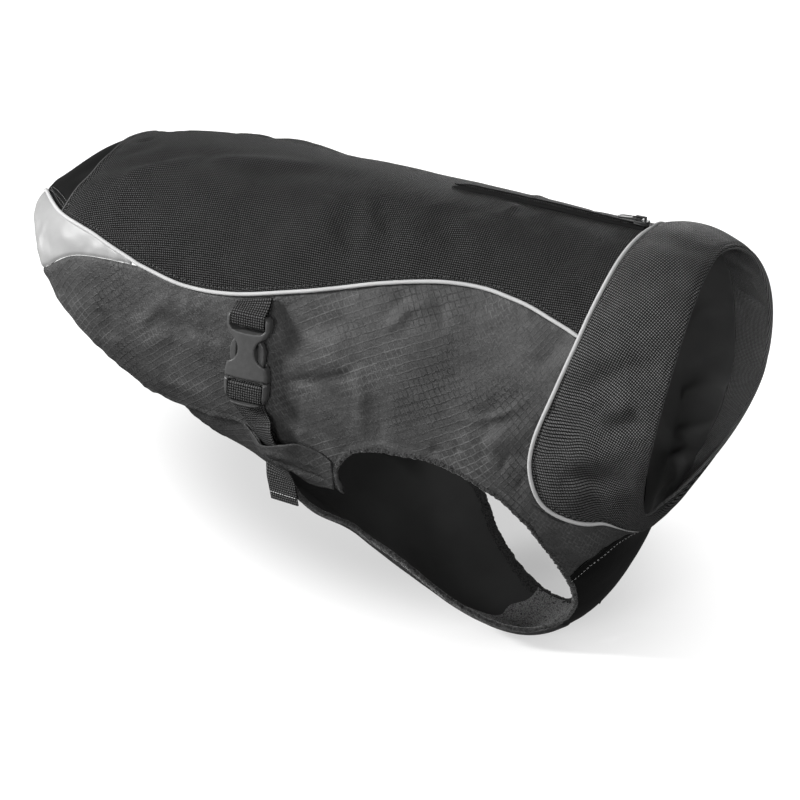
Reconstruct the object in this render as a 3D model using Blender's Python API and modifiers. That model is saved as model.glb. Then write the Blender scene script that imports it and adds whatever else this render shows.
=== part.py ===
"""Dog coat, worn shape: shell panels, standing collar, belly flap, side straps and a back zip.

The coat is drawn on one smooth body surface. A place on it is a section row, counted from the
tail hem (0) to the collar rim (12), and an angle round the section in degrees: 0 along the back,
90 on the dog's right side (-Y), -90 on its left and 180 under the belly. Each panel is a grid
between seam lines given in those terms, and each becomes a thin wall.

Sizes here are millimetres, turned to metres where a mesh is made. +X is toward the neck, +Z up,
and the origin is where the wearer's withers carry the coat, inside the back.
"""
import math

import bmesh
import bpy
import numpy as np
from mathutils import Matrix, Vector

MM = 0.001

# cloth and trim
CLOTH = 1.5            # wall of a shell panel
LINING = 1.2           # wall of the collar's facing and lining
SEAM = 0.32            # what a panel keeps back from a plain seam: its inner face bends 0.15 closer
PIPING_RADIUS = 1.25
PIPING_OUT = 0.9       # how high the piping's core runs above the shell
CHEST_CORNER = 1.3     # and where the chest seam folds hard, by the leg opening
PIPED = 1.5            # what a panel keeps back from the core of a piping
BINDING_SHELL = 2.8    # knit band round the leg opening, on the shell
BINDING_BELLY = 6.0    # and along the belly flap
BINDING_WALL = 1.9
WEB_WIDTH = 22.0
WEB = 1.4
BELLY_INSET = -2.4     # the belly flap's tucked ends lie this far inside the shell
BELLY_SAG = 9.5        # its loose edge hangs away from the shell's corner by this much,
SAG_ROWS = (3.9, 0.6)  # about this row and so many rows to each side,
SAG_FROM = 119.0       # from this many degrees round
SAG_FULL = 129.0
SAG_FADES = (134.0, 152.0)   # and it is gone again under the belly, between these

# body surface, one row a section: the top and bottom points, half width, level of the widest
# place from the bottom up, and the powers of the upper and lower outline
SECTIONS = np.array([
    # top_x  top_z  bottom_x bottom_z half_width widest top_power bottom_power
    (-338, -25, -290, -140, 70, 0.50, 2.30, 2.20),
    (-295, 3, -255, -157, 80, 0.52, 2.22, 2.20),
    (-240, 13, -210, -177, 85, 0.53, 2.10, 2.20),
    (-175, 13, -162, -195, 87, 0.53, 2.10, 2.30),
    (-110, 9, -118, -221, 87, 0.53, 2.10, 2.40),
    (-59, 6, -75, -253, 87, 0.53, 2.10, 2.00),
    (-25, 4, -32, -276, 86, 0.52, 2.10, 1.75),
    (5, 2, 5, -277, 85, 0.50, 2.10, 1.70),
    (30, 0, 38, -255, 83, 0.50, 2.10, 1.80),
    (52, -2, 60, -223, 80, 0.50, 2.10, 1.95),
    (70, -3, 69, -198, 78, 0.49, 2.02, 2.05),
    (94, -2, 76, -188, 77, 0.46, 2.05, 2.00),
    (116, -9, 81, -179, 76, 0.43, 2.09, 1.90),
], dtype=float)
RIM_ROW = 12.0
RIM_BOW_RIGHT = 12.0   # the rim's sides lean forward of a flat plane
RIM_BOW_LEFT = 19.0
RIM_BOW_FROM = 9.0

# the largest folds: a soft trough or ridge between two places, x in mm and degrees round
GIRTH = 1.6            # mm of cloth a degree
FOLDS = np.array([
    # x0    deg0   x1    deg1  width  rise
    (-300, 33, -215, 17, 9, -1.6),
    (-215, 17, -120, 12, 10, -1.0),
    (-292, -30, -205, -20, 10, -1.5),
    (-262, 88, -243, 108, 12, -1.8),
    (-122, 76, -110, 102, 13, -1.7),
    (-95, 62, -70, 84, 14, -1.3),
    (-250, -92, -232, -112, 12, -1.8),
    (-118, -74, -104, -100, 13, -1.6),
    (-88, -60, -66, -86, 14, -1.2),
    (-240, 140, -180, 150, 11, -1.3),
    (-236, -142, -172, -150, 11, -1.3),
], dtype=float)

# seam lines on the right side; the left ones mirror them. One row a point.
SIDE_SEAM = np.array([
    # row  degrees
    (0.00, 21.5), (0.66, 52.0), (1.35, 65.5), (1.80, 71.4), (2.00, 73.4), (2.50, 76.0),
    (3.09, 73.2), (3.81, 64.5), (4.74, 53.0), (5.60, 46.5), (6.48, 44.0), (7.20, 45.2),
    (7.95, 49.0), (9.23, 58.5),
])
SEAM_BACK_CORNER = 1   # knots of the side seam: the back panel's corner,
SEAM_WEDGE_TIP = 3     # the reflector's tip,
SEAM_PAST_TIP = 4      # just past it,
SEAM_COLLAR = 13       # and the collar
WEDGE_EDGE = np.array([(0.14, 78.0), (0.74, 74.8), (1.35, 74.2), (1.80, 73.7)])
TAIL_HEM = np.array([(0.00, 0.0), (0.00, 12.0), (0.00, 21.5)])
WEDGE_HEM = np.array([(0.00, 21.5), (-0.04, 33.0), (0.01, 47.0), (0.09, 62.0), (0.14, 78.0)])
BACK_REAR = np.array([(1.08, 0.0), (1.14, 15.5), (1.05, 26.0), (0.93, 35.0), (0.78, 46.0), (0.66, 52.0)])
SIDE_HEM = np.array([
    (0.14, 78.0), (0.34, 95.0), (0.56, 105.0), (0.83, 115.5), (1.15, 124.5), (1.50, 130.0),
])
LOWER_HEM = np.array([
    (1.50, 130.0), (1.85, 128.8), (2.26, 125.6), (2.52, 123.4), (2.76, 120.4), (3.03, 117.8),
    (3.75, 117.8), (4.47, 119.8),
])
LEG_EDGE = np.array([
    (4.47, 119.8), (4.40, 112.0), (4.62, 104.0), (5.00, 100.0), (5.40, 98.0), (5.85, 95.6),
    (6.30, 95.2), (6.80, 96.8), (7.29, 101.5), (7.68, 109.0), (7.92, 115.8), (8.16, 125.2),
    (8.26, 132.5), (8.30, 138.5),
])
LEG_TOP = 5            # knots of the leg edge: its top,
LEG_FRONT = 8          # and its upper front
CHEST_LEG_EDGE = np.array([(8.30, 138.5), (8.28, 146.0), (8.12, 154.0), (7.86, 159.0), (7.55, 161.0)])
CHEST_SEAM = np.array([(8.30, 138.5), (8.98, 141.6), (9.69, 150.5), (10.43, 162.5), (11.02, 171.0)])
COLLAR_SEAM = np.array([
    (10.10, 0.0), (9.91, 20.0), (9.66, 40.4), (9.23, 58.5), (8.70, 72.5), (8.12, 85.2),
    (8.00, 94.0), (8.18, 105.2), (8.72, 115.7), (9.46, 126.6), (10.20, 137.0), (10.84, 151.0),
    (11.02, 171.0), (11.03, 180.0),
])
COLLAR_CORNER = 3      # knots of the collar seam: the side seam's end,
COLLAR_REAR = 6        # its rearmost place,
COLLAR_CHEST = 12      # and the chest seam's end
BELLY_REAR = np.array([(1.95, 116.0), (2.05, 150.0), (2.10, 180.0)])
BELLY_TUCK = np.array([(1.95, 116.0), (2.45, 112.5), (2.85, 113.2), (3.15, 116.6)])
BELLY_LEG_EDGE = np.array([
    (3.15, 116.6), (3.45, 123.5), (3.85, 129.5), (4.22, 134.5), (4.60, 138.5), (5.10, 140.0), (5.60, 145.5),
    (6.00, 149.5), (6.50, 153.5), (7.10, 158.0), (7.55, 161.0),
])

# grid cells along each stretch of seam
CELLS_TAIL = 3
CELLS_WEDGE = 4
CELLS_SEAM = 20
CELLS_BACK_HALF = 6
CELLS_COLLAR_UPPER = 5
CELLS_COLLAR_LOWER = 7
CELLS_SIDE = 7
CELLS_LEG_REAR = 8
CELLS_LEG_TOP = 10
CELLS_LEG_FRONT = 8
CELLS_LEG_CHEST = 4
CELLS_LEG_BELLY = 15
RELAX_ROUNDS = 1

# the collar's outer face above the body surface, from seam (0) to rim (1)
COLLAR_RISE = np.array([
    # share  out
    (0.00, 1.2), (0.12, 3.0), (0.35, 4.3), (0.70, 3.8), (0.92, 2.8), (1.00, 1.4),
])
FACING_OUT = -0.7
FACING_EDGE = np.array([
    # row  degrees
    (11.05, 0.0), (11.05, 50.0), (11.10, 75.0), (11.19, 96.0), (11.15, 115.0), (11.10, 135.0),
    (11.27, 150.0), (11.46, 165.0), (11.50, 180.0),
])

# the tunnel that the side strap runs through, sewn on the shell's lower front corner
TUNNEL_TOP = np.array([
    (3.07, 115.9), (3.27, 116.2), (3.61, 110.7), (3.80, 108.0), (3.95, 106.7), (4.14, 107.4),
    (4.34, 109.2),
])
TUNNEL_LOWER = np.array([
    (3.10, 118.2), (3.24, 124.6), (3.59, 120.6), (3.81, 118.8), (4.01, 121.4), (4.34, 119.0),
])
TUNNEL_WALL = 1.2
TUNNEL_LOW = 0.5       # its inner face above the shell at its ends,
TUNNEL_MOUTH = 12.0    # further out where the strap goes in,
TUNNEL_EXIT = 6.3      # and where it comes out
TUNNEL_ENDS = (3.06, 3.58, 4.33)   # rows of its rear end, the strap and its front end

# straps and buckle, on the right side
BUCKLE_ROW = 3.29
BUCKLE_DEGREES = 92.0
BUCKLE_LEAN = 4.5      # degrees that the buckle's top leans forward
BUCKLE_TURN = 5.0      # and that its front edge stands out
BUCKLE_LIFT = 1.2
SOCKET_LENGTH = 42.0
SOCKET_WIDTH = 29.0
BUCKLE_THICK = 8.6
PRONG_BASE = 17.0
SOCKET_TOP = 32.0      # heights on the buckle, from its centre
SOCKET_FOOT = SOCKET_TOP - SOCKET_LENGTH
PRONG_TOP = SOCKET_FOOT - 0.5
PRONG_FOOT = PRONG_TOP - PRONG_BASE
BAR_LOW = 2.6          # the bars that webbing wraps are thinner than the buckle
BAR_HIGH = 5.8
# the upper strap round the socket's bar, and the lower strap round the male part's: height on
# the buckle, out of it, how much the end slants across the strap, and the twist in degrees
UPPER_LOOP = np.array([
    # up    out  slant  twist
    (39.9, -1.5, 0.25, -6),
    (37.0, 0.5, 0.12, -4),
    (34.4, 4.4, 0, 0),
    (33.0, 6.4, 0, 0),
    (31.2, 7.1, 0, 0),
    (26.2, 7.1, 0, 0),
    (24.7, 5.8, 0, 0),
    (24.7, 2.6, 0, 0),
    (26.0, 1.2, 0, 0),
    (31.0, 1.0, 0, 0),
    (34.5, -0.1, 0, 0),
    (37.0, -1.7, 0.12, -4),
    (39.3, -3.4, 0.25, -6),
])
LOWER_LOOP = np.array([
    # up    out  slant  twist
    (-20.0, 0.9, 0, 0),
    (-18.2, 1.0, 0, 0),
    (-16.6, 1.8, 0, 0),
    (-15.9, 3.2, 0, 0),
    (-15.9, 5.8, 0, 0),
    (-17.2, 7.1, 0, 0),
    (-20.6, 7.1, 0, 0),
    (-21.9, 5.8, 0, 0),
    (-22.5, 4.2, 0, 0),
    (-23.9, 1.9, 0, 0),
    (-26.5, 0.8, 0, 0),
    (-29.0, 0.6, 0, 2),
])
# the lower strap on its way down to the tunnel and through it
LOWER_RUN = np.array([
    # row  degrees  out  twist
    (3.365, 108.6, 4.4, 10),
    (3.410, 111.3, 5.4, 20),
    (3.464, 114.2, 5.5, 22),
    (3.500, 117.2, 4.4, 15),
    (3.505, 120.5, 3.6, 9),
    (3.500, 125.0, 3.2, 8),
])
FREE_END = (4.5, 0.0, -23.0)   # how the free end hangs: forward, inward and down
FREE_ACROSS = (0.98, -0.19, 0.0)
FREE_STEPS = 3

# back zip
ZIP_FROM = 5.0
ZIP_TO = 9.93
ZIP_HALF = 4.0         # degrees
ZIP_OUT = 0.45
ZIP_TAPE = 1.0
SLIDER_X = 65.0
SLIDER_SIZE = (8.5, 6.6, 2.6)
SLIDER_LIFT = 0.8
PULL_LENGTH = 15.0
PULL_WIDTH = 5.0
PULL_THICK = 1.2
PULL_REST = -4.0       # degrees: its tip lies lower than its hinge
ARCH_HIGH = 3.2        # the slider's arch, which the pull tab's eye hangs on


def smooth(table, place):
    """Catmull-Rom curve through a table's rows, read at a row number that need not be whole."""
    table = np.asarray(table, float)
    place = np.asarray(place, float)
    rows = np.vstack((2 * table[0] - table[1], table, 2 * table[-1] - table[-2]))
    start = np.clip(np.floor(place), 0, len(table) - 2).astype(int)
    part = (place - start)[..., None]
    before, here, after, beyond = (rows[start + step] for step in range(4))
    slope = after - before
    bend = 2 * before - 5 * here + 4 * after - beyond
    twist = 3 * (here - after) + beyond - before
    return here + 0.5 * part * (slope + part * (bend + part * twist))


def fold_rise(x, degrees):
    """Sum over the folds of rise times exp(-(distance to the fold's line / width) squared)."""
    degrees = (degrees + 180) % 360 - 180
    rise = np.zeros(np.broadcast(x, degrees).shape)
    for x0, deg0, x1, deg1, width, height in FOLDS:
        run = np.array((x1 - x0, (deg1 - deg0) * GIRTH))
        gap_x = x - x0
        gap_y = (degrees - deg0) * GIRTH
        share = np.clip((gap_x * run[0] + gap_y * run[1]) / (run @ run), 0, 1)
        distance = (gap_x - share * run[0]) ** 2 + (gap_y - share * run[1]) ** 2
        rise += height * np.exp(-distance / width ** 2)
    return rise


def section_point(row, degrees):
    """Point of the superellipse section: upper and lower halves meet at the widest level."""
    row, degrees = np.broadcast_arrays(np.asarray(row, float), np.asarray(degrees, float))
    values = smooth(SECTIONS, row)
    top = values[..., 0:2]
    bottom = values[..., 2:4]
    half_width, widest, top_power, bottom_power = (values[..., k] for k in range(4, 8))
    middle = bottom + (top - bottom) * widest[..., None]
    up = np.cos(np.radians(degrees))
    side = np.sin(np.radians(degrees))
    power = 2 / np.where(up >= 0, top_power, bottom_power)
    reach = np.where((up >= 0)[..., None], top - middle, bottom - middle)
    xz = middle + reach * (np.abs(up) ** power)[..., None]
    y = -half_width * np.sign(side) * np.abs(side) ** power
    bow = (RIM_BOW_RIGHT + RIM_BOW_LEFT) / 2 + (RIM_BOW_RIGHT - RIM_BOW_LEFT) / 2 * side
    lean = np.clip((row - RIM_BOW_FROM) / (RIM_ROW - RIM_BOW_FROM), 0, 1.2) ** 2
    x = xz[..., 0] + bow * lean * np.abs(side) ** 1.5
    return np.stack((x, y, xz[..., 1]), -1)


def skin(row, degrees, out=0.0):
    """Points of the body surface moved out along its normal, and the normals."""
    row, degrees, out = np.broadcast_arrays(
        np.asarray(row, float), np.asarray(degrees, float), np.asarray(out, float))
    point = section_point(row, degrees)
    step_row = 0.02
    step_degrees = 1.5
    along = section_point(row + step_row, degrees) - section_point(row - step_row, degrees)
    round_ = section_point(row, degrees + step_degrees) - section_point(row, degrees - step_degrees)
    normal = np.cross(round_, along)
    normal /= np.linalg.norm(normal, axis=-1, keepdims=True)
    rise = fold_rise(point[..., 0], degrees)
    return point + normal * (out + rise)[..., None], normal


def trace(table, first, last, cells):
    """Cells + 1 places on a seam line, from one knot to another, evenly spaced in mm."""
    fine = smooth(table, np.linspace(first, last, 40 * cells + 1))
    steps = np.linalg.norm(np.diff(section_point(fine[:, 0], fine[:, 1]), axis=0), axis=-1)
    length = np.concatenate(((0,), np.cumsum(steps)))
    wanted = np.linspace(0, length[-1], cells + 1)
    return np.stack([np.interp(wanted, length, fine[:, k]) for k in range(2)], -1)


def whole(table, cells):
    return trace(table, 0, len(table) - 1, cells)


def chain(*lines):
    """Seam stretches put end to end, each shared point kept once."""
    return np.concatenate([lines[0]] + [line[1:] for line in lines[1:]])


def mirrored(line):
    return line * (1, -1)


def under(line):
    """The left-hand twin of a line, its degrees counted on past 180."""
    return np.stack((line[:, 0], 360 - line[:, 1]), -1)


def patch(start, end, upper, lower):
    """Coons patch: a grid of places that fills four seam lines, start and end across it."""
    s = np.linspace(0, 1, len(upper))[:, None, None]
    t = np.linspace(0, 1, len(start))[None, :, None]
    ruled = (1 - t) * upper[:, None] + t * lower[:, None]
    crossed = (1 - s) * start[None] + s * end[None]
    corners = ((1 - s) * (1 - t) * upper[0] + (1 - s) * t * lower[0]
               + s * (1 - t) * upper[-1] + s * t * lower[-1])
    return ruled + crossed - corners


def relaxed(places, rounds=RELAX_ROUNDS):
    """Evens out a grid of places: each inner one goes to the middle of its four neighbours."""
    places = places.copy()
    for _ in range(rounds):
        places[1:-1, 1:-1] = (places[:-2, 1:-1] + places[2:, 1:-1]
                              + places[1:-1, :-2] + places[1:-1, 2:]) / 4
    return places


def pull_in(points, upper=0.0, lower=0.0, start=0.0, end=0.0, corner=None, closed=False):
    """Moves a grid's four edges inward, square to the edge, by so many mm (or a list of them).

    A corner is the number of a point on the lower edge where the edge turns: there it is taken
    to run on past the corner. A closed grid's first and last lines are neighbours.
    """
    points = points.copy()
    for inset, view in ((upper, points.swapaxes(0, 1)), (lower, points.swapaxes(0, 1)[::-1]),
                        (start, points), (end, points[::-1])):
        if np.max(inset) <= 0:
            continue
        edge = view[0]
        way = view[1] - edge
        along = np.roll(edge, -1, 0) - np.roll(edge, 1, 0) if closed else np.gradient(edge, axis=0)
        if corner is not None and inset is lower:
            along[corner] = edge[corner + 1] - edge[corner]
        along /= np.linalg.norm(along, axis=-1, keepdims=True)
        way = way - (way * along).sum(-1, keepdims=True) * along
        way /= np.linalg.norm(way, axis=-1, keepdims=True)
        view[0] = edge + way * np.broadcast_to(inset, edge.shape[:1])[:, None]
    return points


def make_material(name, colour, roughness, metallic=0.0):
    material = bpy.data.materials.new(name)
    material.use_nodes = True
    shader = material.node_tree.nodes["Principled BSDF"]
    shader.inputs["Base Color"].default_value = (*colour, 1)
    shader.inputs["Roughness"].default_value = roughness
    shader.inputs["Metallic"].default_value = metallic
    return material


def make_object(name, mesh, material, matrix=None):
    piece = bpy.data.objects.new(name, mesh)
    mesh.materials.append(material)
    bpy.data.collections["dog_coat"].objects.link(piece)
    if matrix is not None:
        piece.matrix_world = matrix
    return piece


def wall(name, points, normals, thickness, material, closed=False):
    """A cloth wall: the grid is its outer face, and Solidify gives the thickness inward."""
    rows, columns = points.shape[:2]
    number = np.arange(rows * columns).reshape(rows, columns)
    if closed:
        number = np.vstack((number, number[:1]))
    quads = np.stack((number[:-1, :-1], number[1:, :-1], number[1:, 1:], number[:-1, 1:]), -1)
    quads = quads.reshape(-1, 4)
    flat = points.reshape(-1, 3)
    corner = flat[quads]
    facing = np.cross(corner[:, 1] - corner[:, 0], corner[:, 3] - corner[:, 0])
    if (facing * normals.reshape(-1, 3)[quads[:, 0]]).sum() < 0:
        quads = quads[:, ::-1]
    mesh = bpy.data.meshes.new(name)
    mesh.from_pydata((flat * MM).tolist(), [], quads.tolist())
    mesh.shade_smooth()
    piece = make_object(name, mesh, material)
    solid = piece.modifiers.new("thickness", "SOLIDIFY")
    solid.thickness = thickness * MM
    solid.offset = -1
    return piece


def panel(name, places, material, out=0.0, thickness=CLOTH, closed=False, **insets):
    """A panel of cloth on the body surface, from its grid of places."""
    points, normals = skin(places[..., 0], places[..., 1], out)
    points = pull_in(points, closed=closed, **insets)
    return wall(name, points, normals, thickness, material, closed)


def tube(name, points, radius, material):
    """A round cord: a poly curve with a bevel and filled caps."""
    curve = bpy.data.curves.new(name, "CURVE")
    curve.dimensions = "3D"
    curve.bevel_depth = radius * MM
    curve.bevel_resolution = 2
    curve.use_fill_caps = True
    spline = curve.splines.new("POLY")
    spline.points.add(len(points) - 1)
    spline.points.foreach_set("co", np.column_stack((points * MM, np.ones(len(points)))).ravel())
    return make_object(name, curve, material)


def rounded_plate(name, outline, depth, material, matrix=None):
    """An outline in x and y, extruded from z 0 to its depth."""
    work = bmesh.new()
    corners = [work.verts.new((x * MM, y * MM, 0)) for x, y in outline]
    face = work.faces.new(corners)
    if face.normal.z > 0:
        face.normal_flip()
    raised = bmesh.ops.extrude_face_region(work, geom=[face])["geom"]
    moved = [item for item in raised if isinstance(item, bmesh.types.BMVert)]
    bmesh.ops.translate(work, verts=moved, vec=(0, 0, depth * MM))
    bmesh.ops.recalc_face_normals(work, faces=work.faces)
    mesh = bpy.data.meshes.new(name)
    work.to_mesh(mesh)
    work.free()
    return make_object(name, mesh, material, matrix)


def mirror_outline(right_half):
    """A closed outline from its right half, given from the top down."""
    left_half = [(-x, y) for x, y in reversed(right_half) if x > 0]
    return list(right_half) + left_half


def cut(piece, outline, low, high, matrix, label):
    """Cuts an extruded outline, from depth low to high, out of a piece."""
    cutter = rounded_plate(piece.name + "_" + label, outline, high - low, make_material(label, (1, 0, 0), 1))
    cutter.matrix_world = matrix @ Matrix.Translation((0, 0, low * MM))
    bpy.data.collections["dog_coat"].objects.unlink(cutter)
    bpy.data.collections["cutters"].objects.link(cutter)
    cutter.hide_render = True
    cutter.display_type = "WIRE"
    boolean = piece.modifiers.new(label, "BOOLEAN")
    boolean.operation = "DIFFERENCE"
    boolean.solver = "EXACT"
    boolean.object = cutter


def clear_scene():
    for piece in list(bpy.data.objects):
        bpy.data.objects.remove(piece, do_unlink=True)
    for name in ("dog_coat", "cutters"):
        group = bpy.data.collections.new(name)
        bpy.context.scene.collection.children.link(group)
        group.name = name


# seam samples that neighbouring pieces share
def seam_samples():
    """The side seam as its four stretches: tail, wedge, past the wedge's tip, and on to the collar."""
    return (trace(SIDE_SEAM, 0, SEAM_BACK_CORNER, CELLS_TAIL),
            trace(SIDE_SEAM, SEAM_BACK_CORNER, SEAM_WEDGE_TIP, CELLS_WEDGE),
            trace(SIDE_SEAM, SEAM_WEDGE_TIP, SEAM_PAST_TIP, 1),
            trace(SIDE_SEAM, SEAM_PAST_TIP, SEAM_COLLAR, CELLS_SEAM))


def leg_samples():
    """The shell's edge of the leg opening, from its rear corner over the top and down the front."""
    return chain(trace(LEG_EDGE, 0, LEG_TOP, CELLS_LEG_REAR),
                 trace(LEG_EDGE, LEG_TOP, LEG_FRONT, CELLS_LEG_TOP),
                 trace(LEG_EDGE, LEG_FRONT, len(LEG_EDGE) - 1, CELLS_LEG_FRONT))


def binding_widths(cells):
    """Widths of the knit band from the chest seam back: it widens over its first belly cells."""
    share = np.clip(np.arange(cells + 1) / 3, 0, 1)
    return BINDING_SHELL + (BINDING_BELLY - BINDING_SHELL) * share


def collar_samples():
    """The right half of the collar seam as three stretches: back, side upper and side lower."""
    return (trace(COLLAR_SEAM, 0, COLLAR_CORNER, CELLS_BACK_HALF),
            trace(COLLAR_SEAM, COLLAR_CORNER, COLLAR_REAR, CELLS_COLLAR_UPPER),
            trace(COLLAR_SEAM, COLLAR_REAR, COLLAR_CHEST, CELLS_COLLAR_LOWER))


def make_back(weave, smooth_black):
    tail, wedge, past, rest = seam_samples()
    side = chain(wedge, past, rest)
    half_rear = whole(BACK_REAR, CELLS_BACK_HALF)
    rear = chain(mirrored(half_rear)[::-1], half_rear)
    half_front = collar_samples()[0]
    front = chain(mirrored(half_front)[::-1], half_front)
    panel("back_panel", patch(rear, front, mirrored(side), side), weave,
          upper=PIPED, lower=PIPED, start=SEAM, end=PIPED)
    half_hem = whole(TAIL_HEM, CELLS_BACK_HALF)
    hem = chain(mirrored(half_hem)[::-1], half_hem)
    panel("tail_panel", patch(hem, rear, mirrored(tail), tail), smooth_black,
          upper=PIPED, lower=PIPED, end=SEAM)


def make_side(label, hand, ripstop, silver):
    """One side of the shell and its reflector wedge; hand is 1 on the right and -1 on the left."""
    tail, wedge, past, rest = seam_samples()
    _, collar_upper, collar_lower = collar_samples()
    side = np.array((1, hand))
    wedge_cells = CELLS_TAIL + CELLS_WEDGE
    wedge_edge = whole(WEDGE_EDGE, wedge_cells)
    seam_top = chain(tail, wedge)
    rear = whole(WEDGE_HEM, 4)
    tip = np.linspace(seam_top[-1], wedge_edge[-1], 5)
    panel("reflector_" + label, patch(rear, tip, seam_top, wedge_edge) * side, silver,
          upper=PIPED, lower=SEAM, end=SEAM)

    past_tip = np.stack((wedge_edge[-1], past[-1]))
    upper = chain(wedge_edge, past_tip, rest, collar_upper, collar_lower)
    leg = leg_samples()
    hem_cells = len(upper) - len(leg)
    lower = chain(whole(LOWER_HEM, hem_cells), leg)
    start = whole(SIDE_HEM, CELLS_SIDE)
    end = whole(CHEST_SEAM, CELLS_SIDE)[::-1]
    upper_inset = np.full(len(upper), PIPED)
    upper_inset[:wedge_cells + 1] = SEAM
    lower_inset = np.zeros(len(lower))
    lower_inset[hem_cells:] = BINDING_SHELL + SEAM
    panel("side_panel_" + label, relaxed(patch(start, end, upper, lower)) * side, ripstop,
          upper=upper_inset, lower=lower_inset, end=SEAM, corner=hem_cells)


def belly_out(row, degrees):
    """The belly flap runs inside the shell at its rear and rises to the shell's level in front.

    Its edge hangs away below the shell's lower front corner.
    """
    share = np.clip((row - 4.6) / 2.4, 0, 1)
    tucked = BELLY_INSET * (1 - share * share * (3 - 2 * share))
    near = np.clip(1 - ((row - SAG_ROWS[0]) / SAG_ROWS[1]) ** 2, 0, 1) ** 2
    turned = 180 - np.abs(degrees - 180)
    below = np.clip((turned - SAG_FROM) / (SAG_FULL - SAG_FROM), 0, 1)
    under_belly = np.clip((turned - SAG_FADES[0]) / (SAG_FADES[1] - SAG_FADES[0]), 0, 1)
    sag = BELLY_SAG * near * below * below * (3 - 2 * below)
    return tucked + sag * (1 - under_belly * under_belly * (3 - 2 * under_belly))


def make_underside(smooth_black, ripstop):
    leg = whole(CHEST_LEG_EDGE, CELLS_LEG_CHEST)[::-1]
    seam = whole(CHEST_SEAM, CELLS_SIDE)
    first = np.linalg.norm(section_point(*seam[1]) - section_point(*seam[0]))
    leg[-1] = seam[0] + (seam[1] - seam[0]) * (BINDING_SHELL + SEAM) / first
    right = chain(leg, seam)
    rear = np.linspace(right[0], under(right)[0], 9)
    front = np.linspace(right[-1], under(right)[-1], 9)
    inset = np.full(len(right), SEAM)
    inset[:CELLS_LEG_CHEST] = BINDING_SHELL + SEAM
    inset[CELLS_LEG_CHEST:CELLS_LEG_CHEST + 3] = CHEST_CORNER
    panel("chest_panel", patch(rear, front, right, under(right)), smooth_black,
          upper=inset, lower=inset, start=SEAM, end=PIPED)

    right = chain(whole(BELLY_TUCK, 5), whole(BELLY_LEG_EDGE, CELLS_LEG_BELLY))
    half = whole(BELLY_REAR, 5)
    rear = chain(half, under(half)[::-1])
    front = np.linspace(right[-1], under(right)[-1], 11)
    inset = np.zeros(len(right))
    inset[5:] = binding_widths(CELLS_LEG_BELLY)[::-1] + SEAM
    places = patch(rear, front, right, under(right))
    panel("belly_panel", places, ripstop, out=belly_out(places[..., 0], places[..., 1]),
          upper=inset, lower=inset, end=SEAM)


def make_binding(label, hand, knit):
    """The knit band round the leg opening, from the shell's corner round to the belly flap's tuck."""
    shell = chain(leg_samples(), whole(CHEST_LEG_EDGE, CELLS_LEG_CHEST))
    belly = whole(BELLY_LEG_EDGE, CELLS_LEG_BELLY)[::-1]
    line = chain(shell, belly)
    width = np.full(len(line), BINDING_SHELL)
    width[len(shell) - 1:] = binding_widths(CELLS_LEG_BELLY)
    out = np.where(np.arange(len(line)) < len(shell), 0, belly_out(line[:, 0], line[:, 1])) + 0.2
    edge, normal = skin(line[:, 0], line[:, 1] * hand, out)
    along = np.gradient(edge, axis=0)
    along /= np.linalg.norm(along, axis=-1, keepdims=True)
    inward = np.cross(normal, along) * hand
    inner = edge + inward * width[:, None]
    points = np.stack((edge, (edge + inner) / 2 + normal * 0.3, inner), 1)
    wall("leg_binding_" + label, points, np.stack((normal,) * 3, 1), BINDING_WALL, knit)


def collar_loop():
    """The whole collar seam as a closed ring of places, right side first."""
    back, upper, lower = collar_samples()
    front = trace(COLLAR_SEAM, COLLAR_CHEST, len(COLLAR_SEAM) - 1, 1)
    right = chain(back, upper, lower, front)
    return np.concatenate((right, mirrored(right)[-2:0:-1]))


def ring(start_rows, end_rows, degrees, shares):
    """A closed grid of places between two rings of rows, at the given shares of the way."""
    rows = start_rows[:, None] + (end_rows - start_rows)[:, None] * shares[None]
    return np.stack((rows, np.broadcast_to(degrees[:, None], rows.shape)), -1)


def make_collar(weave, facing_cloth, lining_cloth, piping):
    loop = collar_loop()
    rows, degrees = loop[:, 0], loop[:, 1]
    rim = np.full(len(loop), RIM_ROW)
    shares = np.array((0, 0.10, 0.30, 0.55, 0.82, 1.0))
    places = ring(rows, rim, degrees, shares)
    out = np.interp(shares, COLLAR_RISE[:, 0], COLLAR_RISE[:, 1])
    panel("collar_outer", places, weave, out, closed=True, upper=PIPED)

    edge_rows = np.interp(np.abs(degrees), FACING_EDGE[:, 1], FACING_EDGE[:, 0])
    places = ring(edge_rows, rim, degrees, np.array((0, 0.5, 1)))
    panel("collar_facing", places, facing_cloth, FACING_OUT, LINING, closed=True, upper=SEAM)
    places = ring(rows, edge_rows, degrees, np.array((0, 0.15, 0.4, 0.7, 1)))
    panel("collar_lining", places, lining_cloth, FACING_OUT, LINING, closed=True,
          upper=PIPED, lower=SEAM)

    right = chain(*collar_samples())[:-1]
    line = np.concatenate((mirrored(right)[:0:-1], right))
    points, _ = skin(line[:, 0], line[:, 1], PIPING_OUT + 0.3)
    tube("collar_piping", points, PIPING_RADIUS, piping)


def make_side_piping(label, hand, piping):
    line = chain(*seam_samples())
    points, _ = skin(line[:, 0], line[:, 1] * hand, PIPING_OUT)
    last = points[-1] - points[-2]
    points[-1] -= last / np.linalg.norm(last) * 2 * PIPED
    tube("side_piping_" + label, points, PIPING_RADIUS, piping)


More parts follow.
